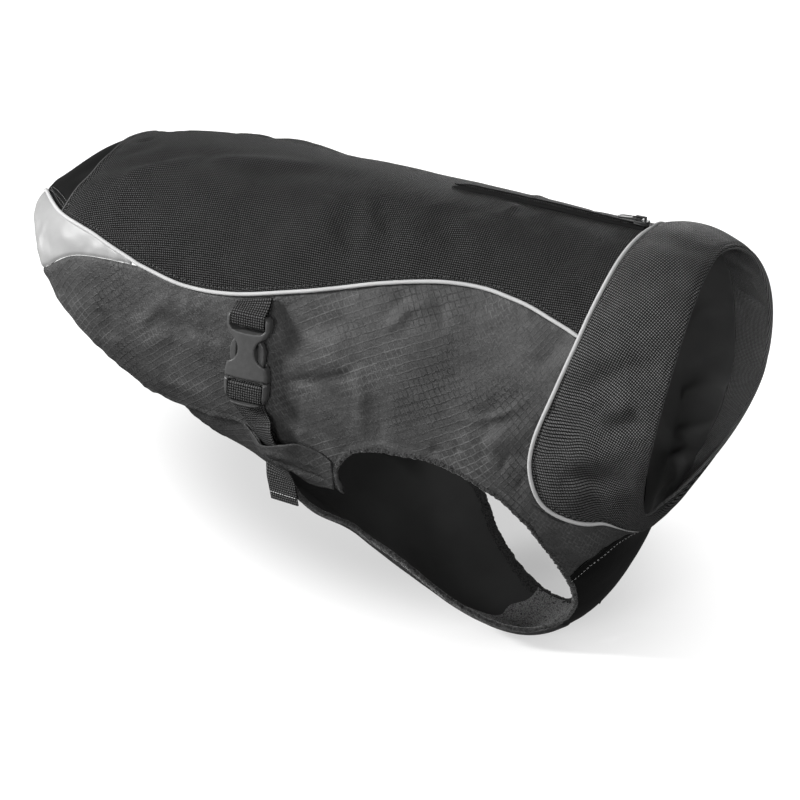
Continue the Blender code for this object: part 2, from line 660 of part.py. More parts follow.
def make_tunnel(label, hand, ripstop):
    """The strap tunnel: sewn down at its ends, standing off the shell where the strap runs."""
    cells = 12
    upper = whole(TUNNEL_TOP, cells)
    lower = whole(TUNNEL_LOWER, cells)
    start = np.linspace(upper[0], lower[0], 6)
    end = np.linspace(upper[-1], lower[-1], 6)
    places = patch(start, end, upper, lower)
    share = np.interp(places[..., 0], TUNNEL_ENDS, (0, 1, 0))
    drop = np.linspace(0, 1, 6) ** 2
    height = TUNNEL_MOUTH + (TUNNEL_EXIT - TUNNEL_MOUTH) * drop
    out = TUNNEL_LOW + TUNNEL_WALL + height * share * share * (3 - 2 * share)
    panel("strap_tunnel_" + label, places * (1, hand), ripstop, out=out, thickness=TUNNEL_WALL)


def buckle_seat(hand):
    """The buckle's frame: x across, y up its length, z out of the coat, at the shell's face."""
    place, normal = skin(BUCKLE_ROW, BUCKLE_DEGREES * hand, 0)
    out = Vector(normal)
    up = Vector((math.sin(math.radians(BUCKLE_LEAN)), 0, math.cos(math.radians(BUCKLE_LEAN))))
    up = (up - out * up.dot(out)).normalized()
    out = Matrix.Rotation(math.radians(BUCKLE_TURN * hand), 3, up) @ out
    across = up.cross(out)
    turn = Matrix((across, up, out)).transposed().to_4x4()
    return Matrix.Translation(Vector(place + normal * BUCKLE_LIFT) * MM) @ turn


def make_buckle(label, hand, plastic):
    seat = buckle_seat(hand)
    half = SOCKET_WIDTH / 2
    outline = mirror_outline([
        (half - 4.0, SOCKET_TOP), (half - 1.2, SOCKET_TOP - 1.4), (half, SOCKET_TOP - 4.5),
        (half - 0.4, SOCKET_TOP - 10.0), (half - 3.2, SOCKET_TOP - 15.0), (half - 4.2, SOCKET_TOP - 20.0),
        (half - 3.6, SOCKET_TOP - 28.0), (half - 1.4, SOCKET_TOP - 33.0), (half, SOCKET_FOOT + 5.0),
        (half, SOCKET_FOOT),
    ])
    socket = rounded_plate("buckle_socket_" + label, outline, BUCKLE_THICK, plastic, seat)
    web_half = WEB_WIDTH / 2 + 0.8
    slot_top = SOCKET_TOP - 6.0
    slot = mirror_outline([(web_half, slot_top), (web_half, slot_top - 7.5), (web_half - 2, slot_top - 9.0)])
    cut(socket, slot, -1, BUCKLE_THICK + 1, seat, "web_slot")
    over_bar = [(-web_half, slot_top - 1), (web_half, slot_top - 1),
                (web_half, SOCKET_TOP + 1), (-web_half, SOCKET_TOP + 1)]
    cut(socket, over_bar, BAR_HIGH, BUCKLE_THICK + 1, seat, "bar_face")
    cut(socket, over_bar, -1, BAR_LOW, seat, "bar_back")
    pocket_half = half - 4.6
    pocket_top = SOCKET_FOOT + 24.0
    pocket = mirror_outline([(pocket_half - 3, pocket_top), (pocket_half, pocket_top - 3),
                             (pocket_half, SOCKET_FOOT + 9), (half - 2.2, SOCKET_FOOT + 6),
                             (half - 2.2, SOCKET_FOOT - 2)])
    cut(socket, pocket, 1.7, BUCKLE_THICK - 1.7, seat, "pocket")
    for name, way in (("window_front", 1), ("window_rear", -1)):
        window = [(way * x, y) for x, y in (
            (half + 3, SOCKET_FOOT + 24), (half - 6.6, SOCKET_FOOT + 22), (half - 8.4, SOCKET_FOOT + 17),
            (half - 7.6, SOCKET_FOOT + 12), (half - 5.6, SOCKET_FOOT + 9.6), (half + 3, SOCKET_FOOT + 12))]
        cut(socket, window, -1, BUCKLE_THICK + 1, seat, name)

    base_top = PRONG_TOP
    base_foot = PRONG_FOOT
    gap = 0.5
    root = half - 2.2 - gap
    tip = pocket_half - gap
    prongs = mirror_outline([
        (3.0, base_top), (root - 5.0, base_top), (root - 5.6, SOCKET_FOOT + 8),
        (tip - 4.6, SOCKET_FOOT + 13), (tip - 3.4, pocket_top - 3.0), (tip - 1.8, pocket_top - 2.2),
        (tip - 0.4, pocket_top - 4.4), (tip, SOCKET_FOOT + 12), (tip, SOCKET_FOOT + 9 - gap),
        (root, SOCKET_FOOT + 6 - gap),
        (root, base_top), (half, base_top), (half, base_foot + 7), (half - 2.5, base_foot + 2),
        (half - 7, base_foot), (3.0, base_foot),
    ])
    male = rounded_plate("buckle_prongs_" + label, prongs, BUCKLE_THICK, plastic, seat)
    above = [(-half - 1, base_top + 0.01), (half + 1, base_top + 0.01),
             (half + 1, SOCKET_TOP), (-half - 1, SOCKET_TOP)]
    inner = 1.7 + 0.4
    cut(male, above, BUCKLE_THICK - inner, BUCKLE_THICK + 1, seat, "prong_face")
    cut(male, above, -1, inner, seat, "prong_back")
    bar = 3.4
    slot_top = base_top - 2.6
    slot_foot = base_foot + 2.8
    middle = (slot_top + slot_foot) / 2
    for name, high, low in (("slot_upper", slot_top, middle + bar / 2), ("slot_lower", middle - bar / 2, slot_foot)):
        slot = [(-web_half, low), (web_half, low), (web_half, high), (-web_half, high)]
        cut(male, slot, -1, BUCKLE_THICK + 1, seat, name)
    over_bar = [(-web_half, slot_foot + 1), (web_half, slot_foot + 1),
                (web_half, slot_top - 1), (-web_half, slot_top - 1)]
    cut(male, over_bar, BAR_HIGH, BUCKLE_THICK + 1, seat, "bar_face")
    under_foot = [(-web_half, base_foot - 1), (web_half, base_foot - 1),
                  (web_half, slot_top - 1), (-web_half, slot_top - 1)]
    cut(male, under_foot, -1, BAR_LOW, seat, "bar_back")


def ribbon(name, middle, across, slant, material):
    """Webbing: a strip along a middle line, with its half width across it at each point."""
    along = np.gradient(middle, axis=0)
    normal = np.cross(along, across)
    normal /= np.linalg.norm(normal, axis=-1, keepdims=True)
    outer = middle + normal * WEB / 2
    half = across * WEB_WIDTH / 2 + slant
    points = np.stack((outer - half, outer, outer + half), 1)
    wall(name, points, np.stack((normal,) * 3, 1), WEB, material)


def loop_points(table, hand):
    """Middle points, unit vectors across and end slants of a strap's loop on the buckle."""
    turn = np.array(buckle_seat(hand))
    sideways, up, out = turn[:3, :3].T
    middle = turn[:3, 3] / MM + table[:, :1] * up + table[:, 1:2] * out
    twist = np.radians(table[:, 3:4])
    across = sideways * hand * np.cos(twist) + out * np.sin(twist)
    return middle, across, up * table[:, 2:3] * WEB_WIDTH / 2


def make_straps(label, hand, webbing):
    """The upper strap, sewn in under the piping, and the lower strap with its free end."""
    middle, across, slant = loop_points(UPPER_LOOP, hand)
    ribbon("strap_upper_" + label, middle, across, slant, webbing)

    middle, across, slant = loop_points(LOWER_LOOP, hand)
    run = smooth(LOWER_RUN, np.linspace(0, len(LOWER_RUN) - 1, 11))
    points, normal = skin(run[:, 0], run[:, 1] * hand, run[:, 2])
    forward = np.cross(normal, np.gradient(points, axis=0)) * hand
    forward /= np.linalg.norm(forward, axis=-1, keepdims=True)
    twist = np.radians(run[:, 3:4])
    run_across = forward * np.cos(twist) + normal * np.sin(twist)
    share = np.linspace(0, 1, FREE_STEPS + 1)[1:, None]
    free = points[-1] + share * np.array(FREE_END) * (1, hand, 1)
    free_across = np.broadcast_to(np.array(FREE_ACROSS) * (1, hand, 1), free.shape)
    middle = np.concatenate((middle, points, free))
    across = np.concatenate((across, run_across, free_across))
    ribbon("strap_lower_" + label, middle, across, np.zeros_like(middle), webbing)


def place_on_back(x, out):
    """A frame on the back's ridge at a given x: x forward, y left, z out of the coat."""
    rows = np.linspace(ZIP_FROM, ZIP_TO, 200)
    points, normals = skin(rows, 0)
    nearest = np.abs(points[:, 0] - x).argmin()
    up = Vector(normals[nearest])
    side = Vector((0, 1, 0))
    turn = Matrix((side.cross(up), side, up)).transposed().to_4x4()
    return Matrix.Translation(Vector(points[nearest] + normals[nearest] * out) * MM) @ turn


def make_zip(tape, metal):
    rows = np.linspace(ZIP_FROM, ZIP_TO, 17)
    places = np.stack(np.broadcast_arrays(rows[:, None], np.array((-ZIP_HALF, 0, ZIP_HALF))[None]), -1)
    panel("zip_tape", places, tape, out=ZIP_OUT + ZIP_TAPE, thickness=ZIP_TAPE)

    length, width, high = SLIDER_SIZE
    seat = place_on_back(SLIDER_X, ZIP_OUT + ZIP_TAPE + SLIDER_LIFT)
    outline = [(-length / 2, 1.8), (-length / 2, -1.8), (-length / 2 + 1.5, -2.6), (1.5, -width / 2),
               (length / 2, -width / 2), (length / 2 + 0.8, -1.6), (length / 2 + 0.8, 1.6),
               (length / 2, width / 2), (1.5, width / 2), (-length / 2 + 1.5, 2.6)]
    slider = rounded_plate("zip_slider", outline, high, metal, seat)
    arch = rounded_plate("zip_arch", [(-3.4, -0.9), (3.4, -0.9), (3.4, 0.9), (-3.4, 0.9)],
                         ARCH_HIGH + 0.5, metal, seat @ Matrix.Translation((0, 0, (high - 0.5) * MM)))
    tunnel = rounded_plate("zip_arch_hole", [(-2.1, -3), (2.1, -3), (2.1, 3), (-2.1, 3)],
                           ARCH_HIGH - 1.1, metal, seat @ Matrix.Translation((0, 0, high * MM)))
    for piece, carrier, operation in ((tunnel, arch, "DIFFERENCE"), (arch, slider, "UNION")):
        bpy.data.collections["dog_coat"].objects.unlink(piece)
        bpy.data.collections["cutters"].objects.link(piece)
        piece.hide_render = True
        piece.display_type = "WIRE"
        boolean = carrier.modifiers.new(piece.name, "BOOLEAN")
        boolean.operation = operation
        boolean.solver = "EXACT"
        boolean.object = piece

    half = PULL_WIDTH / 2
    hinge = high + (ARCH_HIGH - 1.1) / 2
    pivot = (seat @ Matrix.Translation((0, 0, hinge * MM))
             @ Matrix.Rotation(math.radians(PULL_REST), 4, "Y"))
    bar = PULL_THICK / 2
    tab = rounded_plate("zip_pull", [
        (bar, -2.6), (bar, 2.6), (-1.5, half), (-PULL_LENGTH + 2, half), (-PULL_LENGTH + 0.6, half - 0.6),
        (-PULL_LENGTH, half - 2), (-PULL_LENGTH, -half + 2), (-PULL_LENGTH + 0.6, -half + 0.6),
        (-PULL_LENGTH + 2, -half), (-1.5, -half)], PULL_THICK, metal, pivot)
    for corner in tab.data.vertices:
        corner.co.z -= PULL_THICK / 2 * MM
    eye = [(-bar, -1.5), (-bar, 1.5), (-5.6, 1.5), (-5.6, -1.5)]
    cut(tab, eye, -2, 2, pivot, "eye")


def main():
    clear_scene()
    weave = make_material("basket weave nylon", (0.018, 0.018, 0.019), 0.62)
    smooth_black = make_material("smooth black shell", (0.010, 0.010, 0.011), 0.5)
    ripstop = make_material("grey ripstop", (0.070, 0.070, 0.072), 0.55)
    silver = make_material("reflective cloth", (0.62, 0.63, 0.64), 0.35, 0.2)
    piping = make_material("light piping", (0.55, 0.55, 0.55), 0.5)
    knit = make_material("knit binding", (0.030, 0.030, 0.031), 0.9)
    facing = make_material("collar facing", (0.022, 0.022, 0.023), 0.6)
    lining = make_material("collar lining", (0.012, 0.012, 0.013), 0.55)
    webbing = make_material("webbing", (0.035, 0.035, 0.037), 0.8)
    plastic = make_material("buckle plastic", (0.070, 0.070, 0.072), 0.45)
    tape = make_material("zip tape", (0.008, 0.008, 0.009), 0.7)
    metal = make_material("zip metal", (0.05, 0.05, 0.055), 0.4, 0.8)
    make_back(weave, smooth_black)
    for label, hand in (("right", 1), ("left", -1)):
        make_side(label, hand, ripstop, silver)
        make_side_piping(label, hand, piping)
        make_binding(label, hand, knit)
        make_tunnel(label, hand, ripstop)
        make_buckle(label, hand, plastic)
        make_straps(label, hand, webbing)
    make_underside(smooth_black, ripstop)
    make_collar(weave, facing, lining, piping)
    make_zip(tape, metal)


main()
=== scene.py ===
import math

import bpy
import numpy as np
from mathutils import Matrix, Vector


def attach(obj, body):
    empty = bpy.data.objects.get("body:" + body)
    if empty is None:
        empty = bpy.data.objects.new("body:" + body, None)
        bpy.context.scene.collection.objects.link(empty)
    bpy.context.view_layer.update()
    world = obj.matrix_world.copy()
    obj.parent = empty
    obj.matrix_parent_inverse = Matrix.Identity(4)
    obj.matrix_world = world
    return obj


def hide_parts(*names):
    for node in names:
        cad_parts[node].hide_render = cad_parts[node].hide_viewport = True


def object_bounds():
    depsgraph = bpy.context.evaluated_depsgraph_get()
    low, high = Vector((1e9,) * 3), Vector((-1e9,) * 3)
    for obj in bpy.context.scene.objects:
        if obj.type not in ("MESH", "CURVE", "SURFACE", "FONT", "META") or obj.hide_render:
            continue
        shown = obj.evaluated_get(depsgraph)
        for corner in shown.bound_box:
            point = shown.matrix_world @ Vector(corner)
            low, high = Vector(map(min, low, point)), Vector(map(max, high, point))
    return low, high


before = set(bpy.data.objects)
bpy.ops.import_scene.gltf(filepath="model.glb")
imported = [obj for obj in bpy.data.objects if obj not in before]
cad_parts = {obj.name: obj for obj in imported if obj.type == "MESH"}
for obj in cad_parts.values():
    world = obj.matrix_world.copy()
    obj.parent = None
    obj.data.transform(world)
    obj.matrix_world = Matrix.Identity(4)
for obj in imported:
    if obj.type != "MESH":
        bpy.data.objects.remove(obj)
cad_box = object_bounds()

# The studio: a pale floor just under the coat, which glows but for a dim patch painted as the coat's
# shadow, soft lights on four sides and overhead, and a faint white surround. The camera stands at
# the photograph's angle, 28 degrees round from the coat's right side and 20 above it.
CAMERA_TURN = math.radians(28)
CAMERA_RISE = math.radians(20)
CAMERA_AWAY = 2.2
AIM = Vector((-0.10, 0.0, -0.13))
FLOOR_LEVEL = cad_box[0][2] - 0.001
FLOOR_HALF = 9.0
PAINTED_SHADOW_CENTRE = (-0.20, 0.165, 0.0)
PAINTED_SHADOW_TURN = math.radians(35.8)
PAINTED_SHADOW_REACH = (1 / 2.6, 1 / 5.0)   # m, half its length and width
PAINTED_SHADOW_EDGE = (0.35, 1.0)           # of that reach, from where it starts to fade to where it ends
PAINTED_SHADOW_GLOW = (0.22, 0.86)                 # inside the shadow and outside it


def node(tree, kind, inputs=(), **settings):
    """A shader node. Its inputs, by number or name, are values, sockets or nodes (first output)."""
    made = tree.nodes.new("ShaderNode" + kind)
    for key, value in settings.items():
        setattr(made, key, value)
    for key, value in (inputs.items() if isinstance(inputs, dict) else enumerate(inputs)):
        if isinstance(value, bpy.types.Node):
            value = value.outputs[0]
        if isinstance(value, bpy.types.NodeSocket):
            tree.links.new(value, made.inputs[key])
        else:
            made.inputs[key].default_value = value
    return made


def facing(piece, place, aim):
    """Puts a camera or light at a place, with its -Z axis toward the aim."""
    away = (Vector(place) - Vector(aim)).normalized()
    across = Vector((0, 0, 1)).cross(away).normalized()
    turn = Matrix((across, away.cross(across), away)).transposed().to_4x4()
    piece.matrix_world = Matrix.Translation(Vector(place)) @ turn
    bpy.context.scene.collection.objects.link(piece)


lens = bpy.data.cameras.new("camera")
lens.lens = 158.4
lens.sensor_width = 36
lens.shift_x = 0.00625
lens.shift_y = -0.01875
camera = bpy.data.objects.new("camera", lens)
toward = Vector((math.sin(CAMERA_TURN) * math.cos(CAMERA_RISE),
                 -math.cos(CAMERA_TURN) * math.cos(CAMERA_RISE), math.sin(CAMERA_RISE)))
facing(camera, AIM + toward * CAMERA_AWAY, AIM)
bpy.context.scene.camera = camera

for label, place, side, power in (
        ("key", (-1.35, -0.85, 0.68), 0.32, 42),
        ("front", (0.15, -1.85, 0.35), 0.6, 14),
        ("neck", (1.5, -1.15, 0.35), 0.5, 9),
        ("far", (-0.5, 1.9, 0.6), 0.8, 12),
        ("overhead", (0.1, 0.7, 2.6), 2.6, 11)):
    lamp = bpy.data.lights.new(label, "AREA")
    lamp.size = side
    lamp.energy = power
    facing(bpy.data.objects.new(label, lamp), place, AIM)

surround = bpy.data.worlds.new("surround")
surround.use_nodes = True
surround.node_tree.nodes["Background"].inputs["Color"].default_value = (1, 1, 1, 1)
surround.node_tree.nodes["Background"].inputs["Strength"].default_value = 0.13
bpy.context.scene.world = surround
bpy.context.scene.view_settings.view_transform = "Standard"

floor_mesh = bpy.data.meshes.new("floor")
floor_mesh.from_pydata([(x * FLOOR_HALF, y * FLOOR_HALF, FLOOR_LEVEL)
                        for x, y in ((-1, -1), (1, -1), (1, 1), (-1, 1))], [], [(0, 1, 2, 3)])
floor = bpy.data.objects.new("floor", floor_mesh)
bpy.context.scene.collection.objects.link(floor)
pale = bpy.data.materials.new("pale floor")
pale.use_nodes = True
pale_shader = pale.node_tree.nodes["Principled BSDF"]
for socket, value in (("Base Color", (0.4, 0.4, 0.4, 1)), ("Roughness", 1.0), ("Specular IOR Level", 0.0),
                      ("Emission Color", (1, 1, 1, 1))):
    pale_shader.inputs[socket].default_value = value
# The floor's glow is turned down inside a turned ellipse beside the coat: a painted shadow.
turned = node(pale.node_tree, "VectorRotate", {
    "Vector": node(pale.node_tree, "TexCoord").outputs["Object"], "Center": PAINTED_SHADOW_CENTRE,
    "Angle": PAINTED_SHADOW_TURN}, rotation_type="Z_AXIS")
offset = node(pale.node_tree, "VectorMath", (turned, PAINTED_SHADOW_CENTRE), operation="SUBTRACT")
offset = node(pale.node_tree, "VectorMath", (offset, (1 / PAINTED_SHADOW_REACH[0], 1 / PAINTED_SHADOW_REACH[1], 0)),
              operation="MULTIPLY")
apart = node(pale.node_tree, "VectorMath", (offset,), operation="LENGTH").outputs["Value"]
painted_shadow_glow = node(pale.node_tree, "MapRange", (apart, *PAINTED_SHADOW_EDGE, *PAINTED_SHADOW_GLOW), interpolation_type="SMOOTHSTEP")
pale.node_tree.links.new(painted_shadow_glow.outputs[0], pale_shader.inputs["Emission Strength"])
floor_mesh.materials.append(pale)
floor.visible_diffuse = False
floor.visible_glossy = False

# The back panel: coarse basket-weave nylon over the dog's back, lined with smooth dark tricot. It
# is drawn on the coat's body surface, which the other panels share: a place is a section row, from
# the tail hem (0) to the collar rim (12), and degrees round (0 the back, 90 the right side).
SECTIONS = np.array([
    # top_x  top_z  bottom_x bottom_z half_width widest top_power bottom_power, in mm
    (-338, -25, -290, -140, 70, 0.50, 2.30, 2.20),
    (-295, 3, -255, -157, 80, 0.52, 2.22, 2.20),
    (-240, 13, -210, -177, 85, 0.53, 2.10, 2.20),
    (-175, 13, -162, -195, 87, 0.53, 2.10, 2.30),
    (-110, 9, -118, -221, 87, 0.53, 2.10, 2.40),
    (-59, 6, -75, -253, 87, 0.53, 2.10, 2.00),
    (-25, 4, -32, -276, 86, 0.52, 2.10, 1.75),
    (5, 2, 5, -277, 85, 0.50, 2.10, 1.70),
    (30, 0, 38, -255, 83, 0.50, 2.10, 1.80),
    (52, -2, 60, -223, 80, 0.50, 2.10, 1.95),
    (70, -3, 69, -198, 78, 0.49, 2.02, 2.05),
    (94, -2, 76, -188, 77, 0.46, 2.05, 2.00),
    (116, -9, 81, -179, 76, 0.43, 2.09, 1.90),
], dtype=float)
RIM_ROW = 12.0
RIM_BOW_RIGHT = 12.0
RIM_BOW_LEFT = 19.0
RIM_BOW_FROM = 9.0
GIRTH = 1.6            # mm of cloth a degree
FOLDS = np.array([
    # x0    deg0   x1    deg1  width  rise
    (-300, 33, -215, 17, 9, -1.6),
    (-215, 17, -120, 12, 10, -1.0),
    (-292, -30, -205, -20, 10, -1.5),
    (-262, 88, -243, 108, 12, -1.8),
    (-122, 76, -110, 102, 13, -1.7),
    (-95, 62, -70, 84, 14, -1.3),
    (-250, -92, -232, -112, 12, -1.8),
    (-118, -74, -104, -100, 13, -1.6),
    (-88, -60, -66, -86, 14, -1.2),
    (-240, 140, -180, 150, 11, -1.3),
    (-236, -142, -172, -150, 11, -1.3),
], dtype=float)
SIDE_SEAM = np.array([
    (0.00, 21.5), (0.66, 52.0), (1.35, 65.5), (1.80, 71.4), (2.00, 73.4), (2.50, 76.0),
    (3.09, 73.2), (3.81, 64.5), (4.74, 53.0), (5.60, 46.5), (6.48, 44.0), (7.20, 45.2),
    (7.95, 49.0), (9.23, 58.5),
])
BACK_REAR = np.array([(1.08, 0.0), (1.14, 15.5), (1.05, 26.0), (0.93, 35.0), (0.78, 46.0), (0.66, 52.0)])
COLLAR_SEAM = np.array([
    (10.10, 0.0), (9.91, 20.0), (9.66, 40.4), (9.23, 58.5), (8.70, 72.5), (8.12, 85.2),
    (8.00, 94.0), (8.18, 105.2), (8.72, 115.7), (9.46, 126.6), (10.20, 137.0), (10.84, 151.0),
    (11.02, 171.0), (11.03, 180.0),
])
EDGE_STEPS = np.array((0, 0.35, 0.8, 1.4, 2.1, 2.9, 3.8, 4.6, 5.5))   # mm from an edge to its grid lines
WEAVE_CELL = 1.4       # mm a basket cell
SHELL_WALL = 1.3


def smooth(table, place):
    """Catmull-Rom curve through a table's rows, read at a row number that need not be whole."""
    table = np.asarray(table, float)
    place = np.asarray(place, float)
    rows = np.vstack((2 * table[0] - table[1], table, 2 * table[-1] - table[-2]))
    start = np.clip(np.floor(place), 0, len(table) - 2).astype(int)
    part = (place - start)[..., None]
    before, here, after, beyond = (rows[start + step] for step in range(4))
    slope = after - before
    bend = 2 * before - 5 * here + 4 * after - beyond
    twist = 3 * (here - after) + beyond - before
    return here + 0.5 * part * (slope + part * (bend + part * twist))


def fold_rise(x, degrees):
    """Sum over the largest folds of rise times exp(-(distance to the fold's line / width) squared)."""
    degrees = (degrees + 180) % 360 - 180
    rise = np.zeros(np.broadcast(x, degrees).shape)
    for x0, deg0, x1, deg1, width, height in FOLDS:
        run = np.array((x1 - x0, (deg1 - deg0) * GIRTH))
        gap_x = x - x0
        gap_y = (degrees - deg0) * GIRTH
        share = np.clip((gap_x * run[0] + gap_y * run[1]) / (run @ run), 0, 1)
        distance = (gap_x - share * run[0]) ** 2 + (gap_y - share * run[1]) ** 2
        rise += height * np.exp(-distance / width ** 2)
    return rise


def section_point(row, degrees):
    """Point of the superellipse section: upper and lower halves meet at the widest level."""
    row, degrees = np.broadcast_arrays(np.asarray(row, float), np.asarray(degrees, float))
    values = smooth(SECTIONS, row)
    top = values[..., 0:2]
    bottom = values[..., 2:4]
    half_width, widest, top_power, bottom_power = (values[..., k] for k in range(4, 8))
    middle = bottom + (top - bottom) * widest[..., None]
    up = np.cos(np.radians(degrees))
    side = np.sin(np.radians(degrees))
    power = 2 / np.where(up >= 0, top_power, bottom_power)
    reach = np.where((up >= 0)[..., None], top - middle, bottom - middle)
    xz = middle + reach * (np.abs(up) ** power)[..., None]
    y = -half_width * np.sign(side) * np.abs(side) ** power
    bow = (RIM_BOW_RIGHT + RIM_BOW_LEFT) / 2 + (RIM_BOW_RIGHT - RIM_BOW_LEFT) / 2 * side
    lean = np.clip((row - RIM_BOW_FROM) / (RIM_ROW - RIM_BOW_FROM), 0, 1.2) ** 2
    x = xz[..., 0] + bow * lean * np.abs(side) ** 1.5
    return np.stack((x, y, xz[..., 1]), -1)


def skin(row, degrees, out=0.0):
    """Points of the body surface moved out along its normal, in mm, and the normals."""
    row, degrees, out = np.broadcast_arrays(
        np.asarray(row, float), np.asarray(degrees, float), np.asarray(out, float))
    point = section_point(row, degrees)
    along = section_point(row + 0.02, degrees) - section_point(row - 0.02, degrees)
    round_ = section_point(row, degrees + 1.5) - section_point(row, degrees - 1.5)
    normal = np.cross(round_, along)
    normal /= np.linalg.norm(normal, axis=-1, keepdims=True)
    return point + normal * (out + fold_rise(point[..., 0], degrees))[..., None], normal


def run_length(points, axis=0):
    """Length run so far along each line of points, the sum of its steps, from 0 at the first."""
    steps = np.linalg.norm(np.diff(points, axis=axis), axis=-1)
    return np.concatenate((0 * np.take(steps, [0], axis), np.cumsum(steps, axis)), axis)


def trace(table, first, last, cells):
    """Cells + 1 places on a seam line, from one knot to another, evenly spaced in mm."""
    fine = smooth(table, np.linspace(first, last, 40 * cells + 1))
    length = run_length(section_point(fine[:, 0], fine[:, 1]))
    wanted = np.linspace(0, length[-1], cells + 1)
    return np.stack([np.interp(wanted, length, fine[:, k]) for k in range(2)], -1)


def whole(table, cells):
    """A seam line traced from its first knot to its last."""
    return trace(table, 0, len(table) - 1, cells)


def chain(*lines):
    """Seam stretches put end to end, each shared point kept once."""
    return np.concatenate([lines[0]] + [line[1:] for line in lines[1:]])


def mirrored(line):
    """The left-hand twin of a line, its degrees negative."""
    return line * (1, -1)


def under(line):
    """The left-hand twin of a line, its degrees counted on past 180."""
    return np.stack((line[:, 0], 360 - line[:, 1]), -1)


def patch(start, end, upper, lower):
    """Coons patch: a grid of places that fills four seam lines, start and end across it."""
    s = np.linspace(0, 1, len(upper))[:, None, None]
    t = np.linspace(0, 1, len(start))[None, :, None]
    ruled = (1 - t) * upper[:, None] + t * lower[:, None]
    crossed = (1 - s) * start[None] + s * end[None]
    corners = ((1 - s) * (1 - t) * upper[0] + (1 - s) * t * lower[0]
               + s * (1 - t) * upper[-1] + s * t * lower[-1])
    return ruled + crossed - corners


def trimmed(places, start=0.0, end=0.0):
    """A grid kept back from its first and last lines by so many mm, with close lines along both.

    Each line of the grid is read again at the distances EDGE_STEPS from its two ends, and evenly
    between them.
    """
    length = run_length(section_point(places[..., 0], places[..., 1]))
    total = length[-1]
    from_start = start + EDGE_STEPS[:, None] * np.ones_like(total)
    from_end = total - end - EDGE_STEPS[::-1, None] * np.ones_like(total)
    share = np.linspace(0, 1, len(places))[1:-1, None]
    between = from_start[-1] + (from_end[0] - from_start[-1]) * share
    wanted = np.sort(np.concatenate((from_start, between, from_end)), 0)
    wanted = np.clip(wanted, 0, total)
    count = len(places)
    even = wanted / total * (count - 1)
    for _ in range(3):
        low = np.clip(np.floor(even), 0, count - 2).astype(int)
        here = np.take_along_axis(length, low, 0)
        step = np.take_along_axis(length, low + 1, 0) - here
        even = np.clip(low + (wanted - here) / step, 0, count - 1)
    low = np.clip(np.floor(even), 0, count - 2).astype(int)[..., None]
    part = even[..., None] - low
    low = np.broadcast_to(low, low.shape[:-1] + (2,))
    return np.take_along_axis(places, low, 0) * (1 - part) + np.take_along_axis(places, low + 1, 0) * part


ARC_ROW_STEP = 0.1
ARC_TURN_STEP = 3.0
ARC_ROWS = np.linspace(-0.4, 12.6, 131)
ARC_TURNS = np.linspace(-201, 420, 208)
ARC_START = 64         # index of the row that u is counted from
RING_ROW = 10.6        # the collar's middle
arc_points = section_point(ARC_ROWS[:, None], ARC_TURNS[None])
arc_along = run_length(arc_points)
arc_along -= arc_along[ARC_START]
arc_round = run_length(arc_points, 1)


def cloth_map(places, centre):
    """The cloth's own flat map in mm: u is arc length along the coat at the place's degrees, and v
    arc length round the section from the centre's degrees. Both are read from a table of arcs."""
    row = np.clip((places[..., 0] - ARC_ROWS[0]) / ARC_ROW_STEP, 0, len(ARC_ROWS) - 1.001)

    def read(table, degrees):
        turn = np.clip((degrees - ARC_TURNS[0]) / ARC_TURN_STEP, 0, len(ARC_TURNS) - 1.001)
        i = row.astype(int)
        j = turn.astype(int)
        a = row - i
        b = turn - j
        return ((1 - a) * ((1 - b) * table[i, j] + b * table[i, j + 1])
                + a * ((1 - b) * table[i + 1, j] + b * table[i + 1, j + 1]))

    degrees = places[..., 1]
    across = read(arc_round, degrees) - read(arc_round, np.full_like(degrees, centre))
    return np.stack((read(arc_along, degrees), across), -1)


def ring_map(places):
    """A tube's own map, the same way round at every row: v is read at the collar's middle row."""
    degrees = places[..., 1] % 360
    along = cloth_map(np.stack((places[..., 0], degrees), -1), 0)[..., 0]
    across = cloth_map(np.stack((np.full_like(degrees, RING_ROW), degrees), -1), 0)[..., 1]
    return np.stack((along, across), -1)


def creased(places, centre, marks):
    """Soft folds. Each runs on a shallow arc between two places and fades to its ends;
    across it the cloth rises by a bell curve times (1 + lean times the offset over its width)."""
    flat = cloth_map(places, centre)
    rise = np.zeros(flat.shape[:-1])
    for row0, turn0, row1, turn1, bow, width, height, lean in marks:
        first, last = cloth_map(np.array(((row0, turn0), (row1, turn1))), centre)
        run = last - first
        reach = np.hypot(*run)
        side = np.array((-run[1], run[0])) / reach
        gap = flat - first
        share = np.clip(gap @ run / reach ** 2, 0, 1)
        off = gap @ side - 4 * bow * share * (1 - share)
        broad = width * (1 + 0.22 * np.sin(9 * share + row0))
        taper = np.sin(np.pi * share) ** 0.7
        rise += height * taper * np.exp(-(off / broad) ** 2) * (1 + lean * off / broad)
    return rise


def eased(share):
    """Smooth step: 3 times the square less twice the cube."""
    return share * share * (3 - 2 * share)


def speckle(points, size, seed):
    """Smooth noise from -1 to 1: random numbers on a cubic lattice, blended between its corners."""
    lattice = np.random.default_rng(seed).uniform(-1, 1, (32, 32, 32))
    place = points / size
    low = np.floor(place).astype(int)
    part = eased(place - low)
    total = np.zeros(points.shape[:-1])
    for corner in np.ndindex(2, 2, 2):
        weight = np.prod(np.where(corner, part, 1 - part), -1)
        i, j, k = np.moveaxis((low + corner) % 32, -1, 0)
        total += weight * lattice[i, j, k]
    return total


